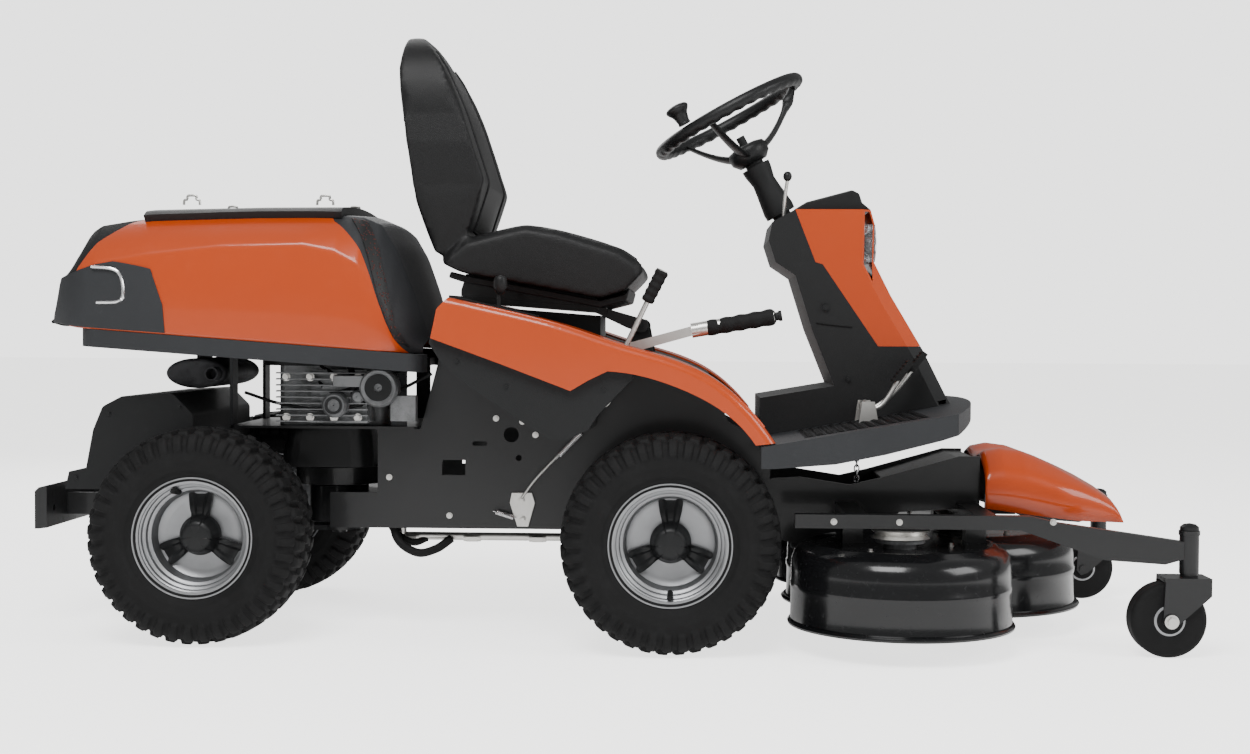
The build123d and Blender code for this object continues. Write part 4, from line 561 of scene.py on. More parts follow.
# ---- wheels --------------------------------------------------------------------------------------------
def tyre_shape(centre, side, sizes):
    """Closed tyre section turned about the axle. Tread blocks are the section pushed outward by a chevron of
    soft pulses in angle, times pulses across the width; shoulder lugs run down the side wall."""
    half = np.array([(58, 103), (66, 106), (70, 117), (79, 132), (83.5, 150), (82, 168), (77, 181), (66, 190),
                     (45, 193.5), (22, 195), (0, 195.5)], float)
    section = smooth_line(np.vstack([half, half[-2::-1] * (-1, 1)]), 110) * MM
    section = np.vstack([section, [(-0.058, 0.1025), (0.058, 0.1025)]])
    section[:, 1] *= (TYRE_R - sizes.lug_height) / 0.1955
    slope = np.gradient(section, axis=0)
    out = np.stack([-slope[:, 1], slope[:, 0]], -1)
    out /= np.linalg.norm(out, axis=1)[:, None] + 1e-9
    out *= np.sign((out * (section - [0, 0.15])).sum(1))[:, None]

    def tread(angle, rows):
        along, radius = rows[..., 0] * side, rows[..., 1]
        width = np.abs(along)
        turn = angle / (2 * math.pi) * sizes.lug_count
        lean = 0.35 * np.minimum(width, 0.06) / 0.06
        blocks = pulse(turn + lean + 0.5 * (width > 0.022) + 0.25 * (along > 0), 0.64, 0.07)
        blocks *= 1 - pulse(width / 0.045 + 0.02, 0.1, 0.05)
        shoulder = pulse(turn + 0.35, 0.56, 0.07) * step(radius, 0.158, 0.164) * 0.75
        crown = step(radius, TYRE_R - 0.019, TYRE_R - 0.014)
        push = sizes.lug_height * np.where(width < 0.068, crown * blocks, shoulder)
        push += 0.0012 * pulse((radius - 0.118) / 0.018, 0.25, 0.08) * (radius < 0.15)
        return push[..., None] * out

    return turned(section * (side, 1), centre, lift=lambda a, r: tread(a, r) * (side, 1), count=480)


def rim_shape(centre, side):
    """Pressed rim: a rolled flange, two steps down to a dished centre, and a drop-centre back."""
    face = [(67, 114.4), (70, 113.2), (70, 111), (66, 108.5), (62, 106), (60, 101), (58, 99.2), (50, 98.4),
            (48, 95), (46.5, 93.5), (38, 92), (36, 88), (34.5, 86.5), (20, 84.5), (9, 81.5), (5, 76),
            (3.2, 66), (2.6, 40), (2.6, 17)]
    back = [(-2.6, 17), (-2.6, 74), (-8, 83), (-30, 85), (-44, 96), (-62, 100), (-68, 110), (-70, 114),
            (-67, 114.4), (-66, 102), (-40, 101.5), (-28, 88), (28, 88), (40, 101.5), (66, 102)]
    section = np.array(face + back, float) * MM * (side, 1)
    return turned(section, centre, count=128)


def cap_shape(centre, side):
    """Three-armed hub cap: in polar form its edge radius swells at each arm, and its height falls from a
    round boss to the arm ends; the back is flat."""
    angle = np.linspace(0, 2 * math.pi, 240, endpoint=False)
    arm = np.abs((angle - math.pi / 2 + math.pi / 3) % (2 * math.pi / 3) - math.pi / 3)
    edge = (38 + 43 * (1 - step(arm, 0.27, 0.42)) - 3 * (1 - step(arm, 0.0, 0.16))) * MM
    share = np.concatenate([np.linspace(0.02, 1, 26), [1.0, 0.02]])
    radius = share[:, None] * edge
    boss = 1 - step(radius, 0.026, 0.040)
    groove = pulse((radius - 0.0115) / 0.03, 0.12, 0.05) * 0.0015
    height = 0.017 + 0.026 * boss + 0.004 * (1 - share[:, None] ** 2) - groove * boss
    rib = 1 - step(arm, 0.10, 0.2)
    height -= 0.006 * step(radius, 0.05, 0.075) + 0.005 * rib * step(radius, 0.034, 0.044)
    height[-2:] = 0.004
    points = np.stack([radius * np.cos(angle), side * height, radius * np.sin(angle)], -1) + centre
    return grid(points, wrap_v=True, cap_u=True)


class MOWER_OT_wheels(bpy.types.Operator):
    """Builds the four turf tyres on their pressed rims with hub caps and valves"""

    bl_idname = "mower.wheels"
    bl_label = "Wheels"

    def execute(self, context):
        sizes = context.scene.mower_sizes
        for end in ("front", "rear"):
            for name, side in SIDES:
                label, body = f"{end}_{name}", f"wheel_{end}_{name}"
                centre = middle(f"tyre_{label}")
                build(f"turf_tyre_{label}", tyre_shape(centre, side, sizes), "rubber", body,
                      f"tyre_{label}", angle=50)
                build(f"pressed_rim_{label}", rim_shape(centre, side), "rim", body, f"rim_{label}",
                      angle=30)
                build(f"hub_cap_{label}", cap_shape(centre, side), "satin", body, angle=40)
                turn = math.radians(-90 if end == "front" else 112)
                out = np.array([math.cos(turn), 0, math.sin(turn)])
                foot = centre + out * 0.0895 + np.array([0, side * 0.036, 0])
                tip = centre + out * 0.094 + np.array([0, side * 0.066, 0])
                stem = [rod(foot, tip, 0.0055), rod(tip, tip + [0, side * 0.006, 0], 0.0042)]
                build(f"valve_{label}", stem, "grip", body)
        return {"FINISHED"}


# ---- hood ----------------------------------------------------------------------------------------------
HOOD_CREST = places([(-1204, 606), (-1192, 650), (-1173, 706), (-1150, 762), (-1134, 790), (-1114, 803),
                     (-1060, 812), (-1010, 818), (-800, 823), (-640, 824), (-600, 821), (-564, 806),
                     (-535, 757), (-505, 679), (-476, 584)])
HOOD_CREASE = places([(-1204, 600), (-1170, 690), (-1100, 716), (-1000, 734), (-860, 750), (-700, 754),
                      (-640, 742), (-594, 716), (-550, 650), (-519, 590), (-476, 560)])
HOOD_FOOT = places([(-1204, 604), (-1129, 592.4), (-473, 545.4)])
HOOD_EDGE, HOOD_NOSE = HOOD_CREST[0, 0], HOOD_CREST[-1, 0]


def hood_surface(x, v):
    """Right half of the hood. At each x the section climbs from the foot (v 0) to the crease (v 1), leans in
    to the shoulder (v 2) and runs level to the middle (v 3); foot, crease and crest heights are curves in x,
    and the half width falls off with the square of the distance past each corner."""
    crest = np.interp(x, HOOD_CREST[:, 0], HOOD_CREST[:, 1])
    foot = np.interp(x, HOOD_FOOT[:, 0], HOOD_FOOT[:, 1])
    crease = np.clip(np.interp(x, HOOD_CREASE[:, 0], HOOD_CREASE[:, 1]), foot + 0.3 * (crest - foot), crest)
    crease = np.minimum(crease, foot + 0.86 * (crest - foot))
    rear = np.clip((HOOD_EDGE + 0.09 - x) / 0.09, 0, 1)
    nose = np.clip((x - HOOD_NOSE + 0.085) / 0.085, 0, 1)
    half = HOOD_HALF - 0.001 - 0.07 * rear**2 - 0.055 * nose**2
    shoulder = half - 0.092
    a = np.clip(v, 0, 1)
    b = np.clip(v - 1, 0, 1)
    c = np.clip(v - 2, 0, 1)
    width = half - 0.004 * a**2 + 0.003 * np.sin(math.pi * a)
    lean = (half - 0.004) * (1 - b) ** 2 + 2 * (half - 0.035) * b * (1 - b) + shoulder * b**2
    width = np.where(v > 1, lean, width)
    height = foot + (crease - foot) * a
    bend = crest - 0.018
    climb = crease * (1 - b) ** 2 + 2 * (0.3 * crease + 0.7 * bend) * b * (1 - b) + (crest - 0.01) * b**2
    height = np.where(v > 1, climb, height)
    width = np.where(v > 2, shoulder * (1 - c), width)
    height = np.where(v > 2, crest - 0.01 * (1 - c) ** 2, height)
    return np.stack([x, -width, height], -1)


def hood_patch(rear, nose, low, high, count_x=80, count_v=60, rise=0.0):
    """Part of the hood between two edges given as x over v, from v low to v high; rise moves it outward."""
    v = np.linspace(low, high, count_v)
    r, n = (np.interp(v, *np.array(edge, float).T) * MM + FRONT_X for edge in (rear, nose))
    s = 0.5 - 0.5 * np.cos(np.linspace(0, math.pi, count_x))
    x = r[None] + (n - r)[None] * s[:, None]
    grid_v = np.broadcast_to(v, x.shape)
    points = hood_surface(x, grid_v)
    if rise:
        du = np.gradient(points, axis=0)
        dv = np.gradient(points, axis=1)
        normal = np.cross(du, dv)
        normal /= np.linalg.norm(normal, axis=-1)[..., None] + 1e-12
        normal *= np.sign(-normal[..., 1:2] + 0.4 * normal[..., 2:3] + 1e-9)
        points = points + rise * normal
    points[..., 1] = np.minimum(points[..., 1], 0)
    return grid(points)


HOOD_REAR_EDGE = [(0, -1150), (0.55, -1150), (1.0, -1134), (1.45, -1104), (1.9, -1050), (2.0, -1012),
                  (3.0, -1008)]
HOOD_NOSE_EDGE = [(0, -500), (0.5, -529), (1.0, -566), (1.4, -612), (1.75, -652), (2.0, -664), (3.0, -660)]


class MOWER_OT_hood(bpy.types.Operator):
    """Builds the creased hood with its tail, nose, screen, top cover, hooks and corner lamps"""

    bl_idname = "mower.hood"
    bl_label = "Hood"

    def execute(self, context):
        wall = context.scene.mower_sizes.panel_wall
        side = hood_patch(HOOD_REAR_EDGE, HOOD_NOSE_EDGE, 0, 2, 120, 70)
        build("hood_skin", both(side), "body", "hood", "hood_shell", angle=28, wall=wall)
        rear = hood_patch([(0, -1203.5), (3, -1203.5)], HOOD_REAR_EDGE, 0, 3, 50, 90, -0.0015)
        build("hood_tail", both(rear), "trim", "hood", "hood_rear_panel", angle=35, wall=wall)
        lid = hood_patch([(2, -1024), (3, -1024)], [(2, -640), (3, -640)], 1.86, 3, 60, 40, 0.0145)
        hooks = []
        for x in (-954, -688):
            for y in (-0.15, 0.15):
                loop = [(-16, -3), (-15, 6), (-9, 8), (-8, 15), (8, 15), (9, 8), (15, 6), (16, -3)]
                line = smooth_line([(FRONT_X + (x + a) * MM, y, 0.840 + b * MM) for a, b in loop], 30)
                hooks.append(tube(line, 0.0025, 8))
        build("hood_lid", both(lid), "satin", "hood", "hood_top_cover", angle=35, wall=0.015, bevel=0.003)
        build("hood_hooks", hooks, "plated", "hood")
        nose = hood_patch(HOOD_NOSE_EDGE, [(0, -477), (3, -477)], 0, 3, 50, 90, -0.0015)
        build("hood_nose", both(nose), "grey", "hood", "hood_front_grille", angle=35, wall=wall)
        screen = hood_patch([(0.35, -517), (1.0, -560), (1.6, -602), (1.9, -622)],
                            [(0.35, -497), (1.0, -528), (1.6, -566), (1.9, -590)], 0.4, 1.9, 40, 60, 0.0015)
        build("hood_screen", both(screen), "mesh", "hood", angle=35, wall=0.002)
        corner = hood_patch([(0, -1196), (0.5, -1190), (1, -1175)], [(0, -962), (0.35, -966), (0.8, -990),
                                                                     (1, -1075)], 0.02, 0.97, 60, 40, 0.0025)
        build("hood_corner", both(corner), "grey", "hood", angle=35, wall=0.003)
        lamp = places([(-1092, 640), (-1052, 642), (-1042, 655), (-1046, 690), (-1062, 704), (-1102, 708)])
        track = [(x, -HOOD_HALF - 0.0015, z) for x, z in smooth_line(lamp, 40)]
        build("corner_lamp", both(tube(track, 0.005, 10, 0.8)), "bright", "hood")
        return {"FINISHED"}


# ---- helpers that meet the frame -----------------------------------------------------------------------
def land(node, start, direction):
    """Point and outward normal where a ray first meets a node."""
    found, point, normal, _ = frame["nodes"][node].ray_cast(Vector(start), Vector(direction).normalized())
    if not found:
        raise RuntimeError(f"nothing of {node} lies from {tuple(start)} towards {tuple(direction)}")
    normal = np.array(normal)
    return np.array(point), normal if normal @ np.array(direction, float) < 0 else -normal


def bolts_on(node, starts, direction, radius, height=0.005):
    """Bolt heads where rays meet a node."""
    shapes = []
    for start in starts:
        point, _ = land(node, start, direction)
        shapes.append(nut(point, -np.array(direction, float), radius, height))
    return shapes


def vertices(mesh):
    """Places of a mesh's vertices as rows."""
    co = np.empty(len(mesh.vertices) * 3)
    mesh.vertices.foreach_get("co", co)
    return co.reshape(-1, 3)


def hinge(name):
    """A joint's place and axis."""
    joint = next(j for j in frame["joints"] if j["name"] == name)
    axis = np.array(joint["axis"], float)
    return np.array(joint.get("pos_m", (0, 0, 0)), float), axis / np.linalg.norm(axis)


def at(x, y, z):
    """A place in millimetres from the front axle, the middle and the ground, in frame metres."""
    return np.array([FRONT_X + x * MM, y * MM, z * MM])


def coil(a, b, radius, wire, turns):
    """Helix of wire between two points with a straight hook at each end."""
    a, b = np.array(a, float), np.array(b, float)
    along = (b - a) / np.linalg.norm(b - a)
    side = np.cross(along, [0.2, 0.9, 0.3])
    side /= np.linalg.norm(side)
    up = np.cross(along, side)
    t = np.linspace(0, 1, turns * 14)
    ring = np.cos(t * turns * 2 * math.pi)[:, None] * side + np.sin(t * turns * 2 * math.pi)[:, None] * up
    path = a + (0.12 + 0.76 * t)[:, None] * (b - a) + radius * step(t * (1 - t), 0, 0.02)[:, None] * ring
    return tube(np.vstack([a, path, b]), wire, 6)


def sweep(points, radius, sides=12):
    """Round bar or hose through points given as (x, y, z) in machine millimetres."""
    return tube(smooth_line([at(*p) for p in points], 80), radius, sides)


# ---- fenders and foot plate ----------------------------------------------------------------------------
FENDER_LINE = [(-405, 651), (-309, 630), (-200, 605), (-128, 576), (-86, 562), (-42, 552), (0, 543),
               (36, 529), (73, 511), (104, 486), (136, 458), (162, 424), (189, 391)]


class MOWER_OT_fenders(bpy.types.Operator):
    """Adds the fenders' rolled edge, the foot plate's tread and the panel screws"""

    bl_idname = "mower.fenders"
    bl_label = "Fenders"

    def execute(self, context):
        bolt = context.scene.mower_sizes.bolt
        line = smooth_line(places(FENDER_LINE), 90)
        edge = []
        for x, z in line[4:-6]:
            hit, _ = land("fenders", (x, -0.42, z + 0.2), (0, 0, -1))
            edge.append(hit + (0, 0, -0.002))
        build("fender_bead", both(tube(edge, 0.0035, 10)), "body", "front_chassis", angle=60)
        ribs = []
        x0, x1 = near("footplate", 0) + 0.09, far("footplate", 0) - 0.13
        for x in np.linspace(x0, x1, 12):
            for y in np.linspace(-0.38, -0.17, 8):
                point, normal = land("footplate", (x, y, 0.75), (0, 0, -1))
                if normal[2] > 0.8:
                    a = point + (0.011, 0.006 if int(y * 1000) % 2 else -0.006,
                                 -0.011 * normal[0] / normal[2])
                    ridge = [2 * point - a, point + (0, 0, 0.001), a]
                    ribs.append(tube(ridge, [0.0006, 0.003, 0.0006], 6, 0.6))
        build("foot_tread", both(join(ribs)), "trim", "front_chassis", angle=40)
        screws = bolts_on("side_panels", [at(-122, -600, 485), at(-300, -600, 490), at(-390, -600, 535)],
                          (0, 1, 0), bolt * 0.8, 0.003)
        build("panel_screws", both(join(screws)), "satin", "front_chassis")
        return {"FINISHED"}


# ---- chassis -------------------------------------------------------------------------------------------
class MOWER_OT_chassis(bpy.types.Operator):
    """Adds the frame's bolts, the lift bracket with its rod, pulley and springs, pipe fittings and hoses"""

    bl_idname = "mower.chassis"
    bl_label = "Chassis"

    def execute(self, context):
        bolt = context.scene.mower_sizes.bolt
        spots = [(-296, 412), (-348, 418), (-270, 386), (-560, 300), (-120, 225), (-440, 225)]
        heads = bolts_on("frame_side_plates", [at(x, -600, z) for x, z in spots], (0, 1, 0), bolt, 0.006)
        build("frame_bolts", both(join(heads)), "plated", "front_chassis")
        y = near("frame_side_plates", 1) / MM - 4
        bracket = prism(places([(-316, 272), (-276, 272), (-270, 252), (-283, 205), (-305, 205),
                                (-320, 252)]), (y - 2) * MM, (y + 1) * MM)
        lever = sweep([(-296, y - 6, 262), (-268, y - 7, 300), (-215, y - 8, 356), (-172, y - 9, 402)],
                      0.0028)
        pulley = turned(np.array([(-5, 4), (-5, 14), (-2, 11), (2, 11), (5, 14), (5, 4)]) * MM,
                        at(-163, y - 10, 413), (0, 1, 0), 40)
        pin = nut(at(-163, y - 16, 413), (0, -1, 0), 0.005, 0.004)
        build("lift_bracket", [bracket, lever, nut(at(-296, y - 4, 258), (0, -1, 0), bolt, 0.005),
                               nut(at(-294, y - 4, 220), (0, -1, 0), bolt, 0.005)],
              "plated", "front_chassis", bevel=0.0008)
        build("lift_pulley", [pulley, pin], "satin", "front_chassis", angle=30)
        springs = [coil(at(-228, y - 14, 340), at(-172, y - 14, 398), 0.005, 0.0011, 20),
                   coil(at(-352, y - 8, 236), at(-306, y - 8, 222), 0.0045, 0.0011, 14)]
        build("lift_springs", springs, "bright", "front_chassis", angle=60)
        fittings = []
        middle_z = middle("hydraulic_pipes")[2]
        for share in (0.06, 0.35, 0.66, 0.94):
            x = near("hydraulic_pipes", 0) * (1 - share) + far("hydraulic_pipes", 0) * share
            for height in np.linspace(-0.012, 0.012, 7):
                start = Vector((x, -0.4, middle_z + height))
                found = frame["nodes"]["hydraulic_pipes"].ray_cast(start, Vector((0, 1, 0)))
                if found[0]:
                    spot = np.array(found[1]) + (0, 0.006, 0)
                    fittings.append(rod(spot - (0.011, 0, 0), spot + (0.011, 0, 0), 0.0098, 6))
                    fittings.append(rod(spot - (0.017, 0, 0), spot + (0.017, 0, 0), 0.0080, 16))
                    break
        build("pipe_fittings", fittings, "plated", "front_chassis")
        supply = [(-560, -118, 250), (-548, -134, 180), (-508, -140, 150), (-470, -134, 156),
                  (-440, -120, 176)]
        drain = [(-575, -92, 262), (-560, -112, 196), (-520, -118, 168), (-490, -110, 176)]
        hoses = [sweep(supply, 0.0085, 14), sweep(drain, 0.0075, 14)]
        build("drive_hoses", hoses, "grip", "front_chassis", angle=60)
        return {"FINISHED"}


# ---- engine bay ----------------------------------------------------------------------------------------
class MOWER_OT_engine(bpy.types.Operator):
    """Adds cooling fins, studs, fittings, covers, wiring and the throttle cable around the engine"""

    bl_idname = "mower.engine"
    bl_label = "Engine"

    def execute(self, context):
        low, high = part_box("engine_block")
        fins = []
        x0, x1 = low[0] + 0.02, high[0] - 0.02
        for z in np.linspace(low[2] + 0.012, high[2] - 0.012, 9):
            fins.append(slab(((x0 + x1) / 2, low[1] - 0.004, z), (x1 - x0, 0.014, 0.0028)))
        build("engine_fins", both(join(fins)), "casting", "front_chassis", bevel=0.0006)
        studs = [nut((x, low[1] - 0.006, z), (0, -1, 0), 0.0055, 0.008)
                 for x in np.linspace(x0 + 0.02, x1 - 0.02, 4) for z in (low[2] + 0.02, high[2] - 0.02)]
        build("engine_studs", both(join(studs)), "plated", "front_chassis")
        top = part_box("engine_cowl")
        ribs = [turned(np.array([(0, r), (0.0035, r), (0.0035, r + 0.0035), (0, r + 0.0035)]),
                       (*((top[0] + top[1]) / 2)[:2], top[1][2] - 0.001), (0, 0, 1), 72)
                for r in np.linspace(0.03, 0.085, 6)]
        build("cowl_rings", ribs, "satin", "front_chassis")
        loom = [(-700, -190, 500), (-664, -205, 470), (-610, -208, 482), (-560, -196, 500), (-520, -180, 512)]
        lead = [(-690, -180, 520), (-650, -210, 500), (-600, -200, 460), (-566, -180, 452)]
        fuel_line = [(-640, -170, 530), (-622, -204, 502), (-618, -208, 462), (-600, -186, 440)]
        cable = [(-841, -176, 467), (-760, -206, 446), (-660, -214, 436), (-560, -206, 462),
                 (-472, -176, 506)]
        wires = [sweep(loom, 0.0035, 8), sweep(lead, 0.0028, 8), sweep(fuel_line, 0.006, 12),
                 sweep(cable, 0.0032, 8)]
        across = (0, 1, 0)
        wall = near("engine_block", 1) / MM
        parts = [turned(np.array([(-30, 0.5), (-30, 34), (-24, 38), (6, 38), (6, 0.5)]) * MM,
                        at(-566, wall - 2, 480), across, 48),
                 turned(np.array([(-44, 0.5), (-44, 20), (-38, 24), (0, 24), (0, 0.5)]) * MM,
                        at(-650, wall, 446), across, 40),
                 turned(np.array([(-18, 0.5), (-18, 9), (-12, 13), (6, 13), (6, 0.5)]) * MM,
                        at(-610, wall, 462), across, 32)]
        parts += [slab(at(-610, wall - 12, 492), (0.09, 0.03, 0.022)),
                  slab(at(-520, wall - 8, 440), (0.05, 0.024, 0.05))]
        build("engine_fittings", parts, "casting", "front_chassis", angle=30, bevel=0.0015)
        rings = [turned(np.array([(-47, 12), (-47, 17), (-45, 17), (-45, 12)]) * MM,
                        at(-650, wall, 446), across, 40),
                 turned(np.array([(-33, 8), (-33, 26), (-30, 26), (-30, 8)]) * MM,
                        at(-566, wall - 2, 480), across, 48)]
        build("engine_covers", rings, "satin", "front_chassis", angle=30)
        build("engine_wires", wires, "grip", "front_chassis", angle=60)
        return {"FINISHED"}


# ---- rear carriage -------------------------------------------------------------------------------------
class MOWER_OT_carriage(bpy.types.Operator):
    """Adds cooling slats and screws on the rear cover"""

    bl_idname = "mower.carriage"
    bl_label = "Rear carriage"

    def execute(self, context):
        bolt = context.scene.mower_sizes.bolt
        slats = []
        for z in np.linspace(355, 432, 6):
            point, _ = land("rear_cover", at(-1300, -110, z), (1, 0, 0))
            slats.append(tube([point + (0, y, 0) for y in (-0.01, 0.05, 0.17, 0.23)],
                              [0.0006, 0.004, 0.004, 0.0006], 8))
        build("rear_slats", slats, "trim", "rear_carriage", angle=50)
        heads = bolts_on("rear_cover", [at(-1100, -400, 425), at(-960, -400, 440), at(-1165, -400, 300)],
                         (0, 1, 0), bolt * 0.8, 0.003)
        build("rear_cover_screws", both(join(heads)), "satin", "rear_carriage")
        return {"FINISHED"}


# ---- console -------------------------------------------------------------------------------------------
class MOWER_OT_console(bpy.types.Operator):
    """Builds the visor and adds the headlamps' bowls and bulbs, the dash lever, tower seams and bolts"""

    bl_idname = "mower.console"
    bl_label = "Console"

    def execute(self, context):
        low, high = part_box("headlamps")
        bolt = context.scene.mower_sizes.bolt
        bowls, bulbs = [], []
        for side in (-1, 1):
            hit, _ = land("headlamps", (high[0] + 0.2, side * 0.055, (low[2] + high[2]) / 2), (-1, 0, 0))
            t = np.linspace(0, 1, 18)
            bowl = np.stack([hit[0] - 0.030 * (1 - t**2) + 0.002, 0.030 * t + 0.0015], -1)
            centre = np.array([0, hit[1], hit[2]])
            profile = np.vstack([bowl, bowl[::-1] + (0.0015, 0.001)])
            bowls.append(turned(profile, centre, (1, 0, 0), 64))
            bulbs.append(turned(np.array([(hit[0] - 0.02, 0.0005), (hit[0] - 0.02, 0.006),
                                          (hit[0] - 0.006, 0.006), (hit[0] - 0.001, 0.0005)]), centre,
                                (1, 0, 0), 24))
            bowls.append(turned(np.array([(hit[0], 0.0315), (hit[0] + 0.003, 0.033), (hit[0] + 0.003, 0.036),
                                          (hit[0] - 0.004, 0.036)]), centre, (1, 0, 0), 64))
        build("lamp_bowls", bowls, "bright", "front_chassis", angle=50)
        build("lamp_bulbs", bulbs, "lens", "front_chassis")
        rod_line = [(218, -96, 822), (220, -106, 862), (224, -110, 893)]
        visor = prism(places([(236, 833), (262, 849), (352, 873), (366, 866), (372, 848), (384, 838),
                              (390, 833)]), -0.1065, 0.1065)
        build("visor", visor, "satin", "front_chassis", "dash_panel", angle=30, bevel=0.004)
        seam = [land("console_tower", at(x, -600, z), (0, 1, 0))[0] - (0, 0.0008, 0) for x, z in
                ((282, 610), (300, 607), (330, 604), (352, 602))]
        build("tower_seam", both(tube(seam, 0.0016, 8)), "grip", "front_chassis")
        build("dash_lever", [sweep(rod_line, 0.0035)], "plated", "front_chassis")
        build("dash_lever_ball",
              turned(np.array([(-0.011, 0.0006), (-0.009, 0.006), (0, 0.0105), (0.009, 0.006),
                               (0.011, 0.0006)]), at(224, -110, 899), (0, 0, 1), 28), "satin",
              "front_chassis", angle=60, levels=1)
        heads = bolts_on("console_tower", [at(300, -600, 641)], (0, 1, 0), bolt * 1.5, 0.006)
        heads += bolts_on("console_tower", [at(345, -600, 500)], (0, 1, 0), bolt, 0.006)
        build("tower_bolts", both(join(heads)), "satin", "front_chassis")
        return {"FINISHED"}


# ---- steering wheel ------------------------------------------------------------------------------------
class MOWER_OT_steering(bpy.types.Operator):
    """Builds the steering wheel with finger bumps and a dished hub, the column's boot and the turning knob"""

    bl_idname = "mower.steering"
    bl_label = "Steering"

    def execute(self, context):
        r_tube = context.scene.mower_sizes.rim_tube
        spot, axis = hinge("steering_wheel_turn")
        axis = axis * np.sign(axis[2])
        points = vertices(frame["nodes"]["steering_wheel"].data)
        along = (points - spot) @ axis
        radial = np.linalg.norm(points - spot - along[:, None] * axis, axis=1)
        big = radial.max() - r_tube
        rim_level = along[radial > big].mean()
        hub_level = along.min()
        centre = spot + rim_level * axis
        side = np.array(Vector(axis).orthogonal().normalized())
        up = np.cross(axis, side)
        u = np.linspace(0, 2 * math.pi, 360, endpoint=False)[:, None]
        w = np.linspace(0, 2 * math.pi, 24, endpoint=False)[None, :]
        under = np.clip(-np.sin(w), 0, 1)
        radius = r_tube * (1 - 0.16 * under * (0.5 + 0.5 * np.cos(36 * u)) - 0.02)
        ring = np.cos(u)[..., None] * side + np.sin(u)[..., None] * up
        rim = centre + (big + radius * np.cos(w))[..., None] * ring + (radius * np.sin(w))[..., None] * axis
        shapes = [grid(rim, wrap_u=True, wrap_v=True)]
        hub = spot + hub_level * axis
        depth = rim_level - hub_level
        for k in range(3):
            turn = math.pi / 2 + k * 2 * math.pi / 3
            way = math.cos(turn) * side + math.sin(turn) * up
            share = np.linspace(0, 1, 30)
            outward = (0.03 + share * (big - 0.032))[:, None] * way
            line = hub + outward + (0.022 + (depth - 0.022) * share**1.5)[:, None] * axis
            shapes.append(tube(line, 0.016 - 0.006 * share, 14, 0.42))
        dish = np.array([(0.0, 0.001), (0.0, 0.030), (0.012, 0.041), (0.026, 0.043), (0.036, 0.038),
                         (0.040, 0.024), (0.041, 0.001)])
        shapes.append(turned(dish, hub, axis, 48))
        build("steering_rim", shapes, "satin", "steering_wheel", "steering_wheel", angle=55)
        foot = hub - axis * 0.118
        profile = np.array([(0.0, 0.001), (0.0, 0.031), (0.012, 0.032), (0.055, 0.026), (0.075, 0.024),
                            (0.098, 0.029), (0.110, 0.030), (0.112, 0.001)])
        build("column_boot", turned(profile, foot, axis, 48), "trim", "front_chassis", angle=40)
        knob_spot, knob_axis = hinge("steering_knob_spin")
        knob_axis = knob_axis * np.sign(knob_axis[2])
        rise = (vertices(frame["nodes"]["steering_knob"].data) - knob_spot) @ knob_axis
        low, high = rise.min(), rise.max()
        tall = high - low
        t = np.array([(0, 0.001), (0, 0.012), (0.12, 0.012), (0.3, 0.0135), (0.5, 0.016), (0.66, 0.021),
                      (0.8, 0.0235), (0.92, 0.020), (0.99, 0.010), (1.0, 0.001)])
        profile = np.stack([low + t[:, 0] * tall, t[:, 1]], -1)
        build("turning_knob", turned(smooth_line(profile, 50).clip([low, 0.0005], [high, 1]), knob_spot,
                                     knob_axis, 48), "satin", "steering_knob", "steering_knob", angle=60)
        return {"FINISHED"}


# ---- levers and pedals ---------------------------------------------------------------------------------
def grip(a, b, radius, flat=1.0):
    """Moulded grip: the radius dips in soft finger grooves along its length and rounds off at both ends."""
    t = np.linspace(0, 1, 90)
    swell = radius * (1 - 0.10 * (0.5 + 0.5 * np.cos(t * 5 * 2 * math.pi)) + 0.06 * t)
    swell *= np.sqrt(np.clip(1 - np.clip((t - 0.94) / 0.07, 0, 1) ** 2, 0.05, 1))
    swell *= np.sqrt(np.clip(1 - np.clip((0.04 - t) / 0.05, 0, 1) ** 2, 0.05, 1))
    a, b = np.array(a, float), np.array(b, float)
    return tube(a + t[:, None] * (b - a), swell, 24, flat)


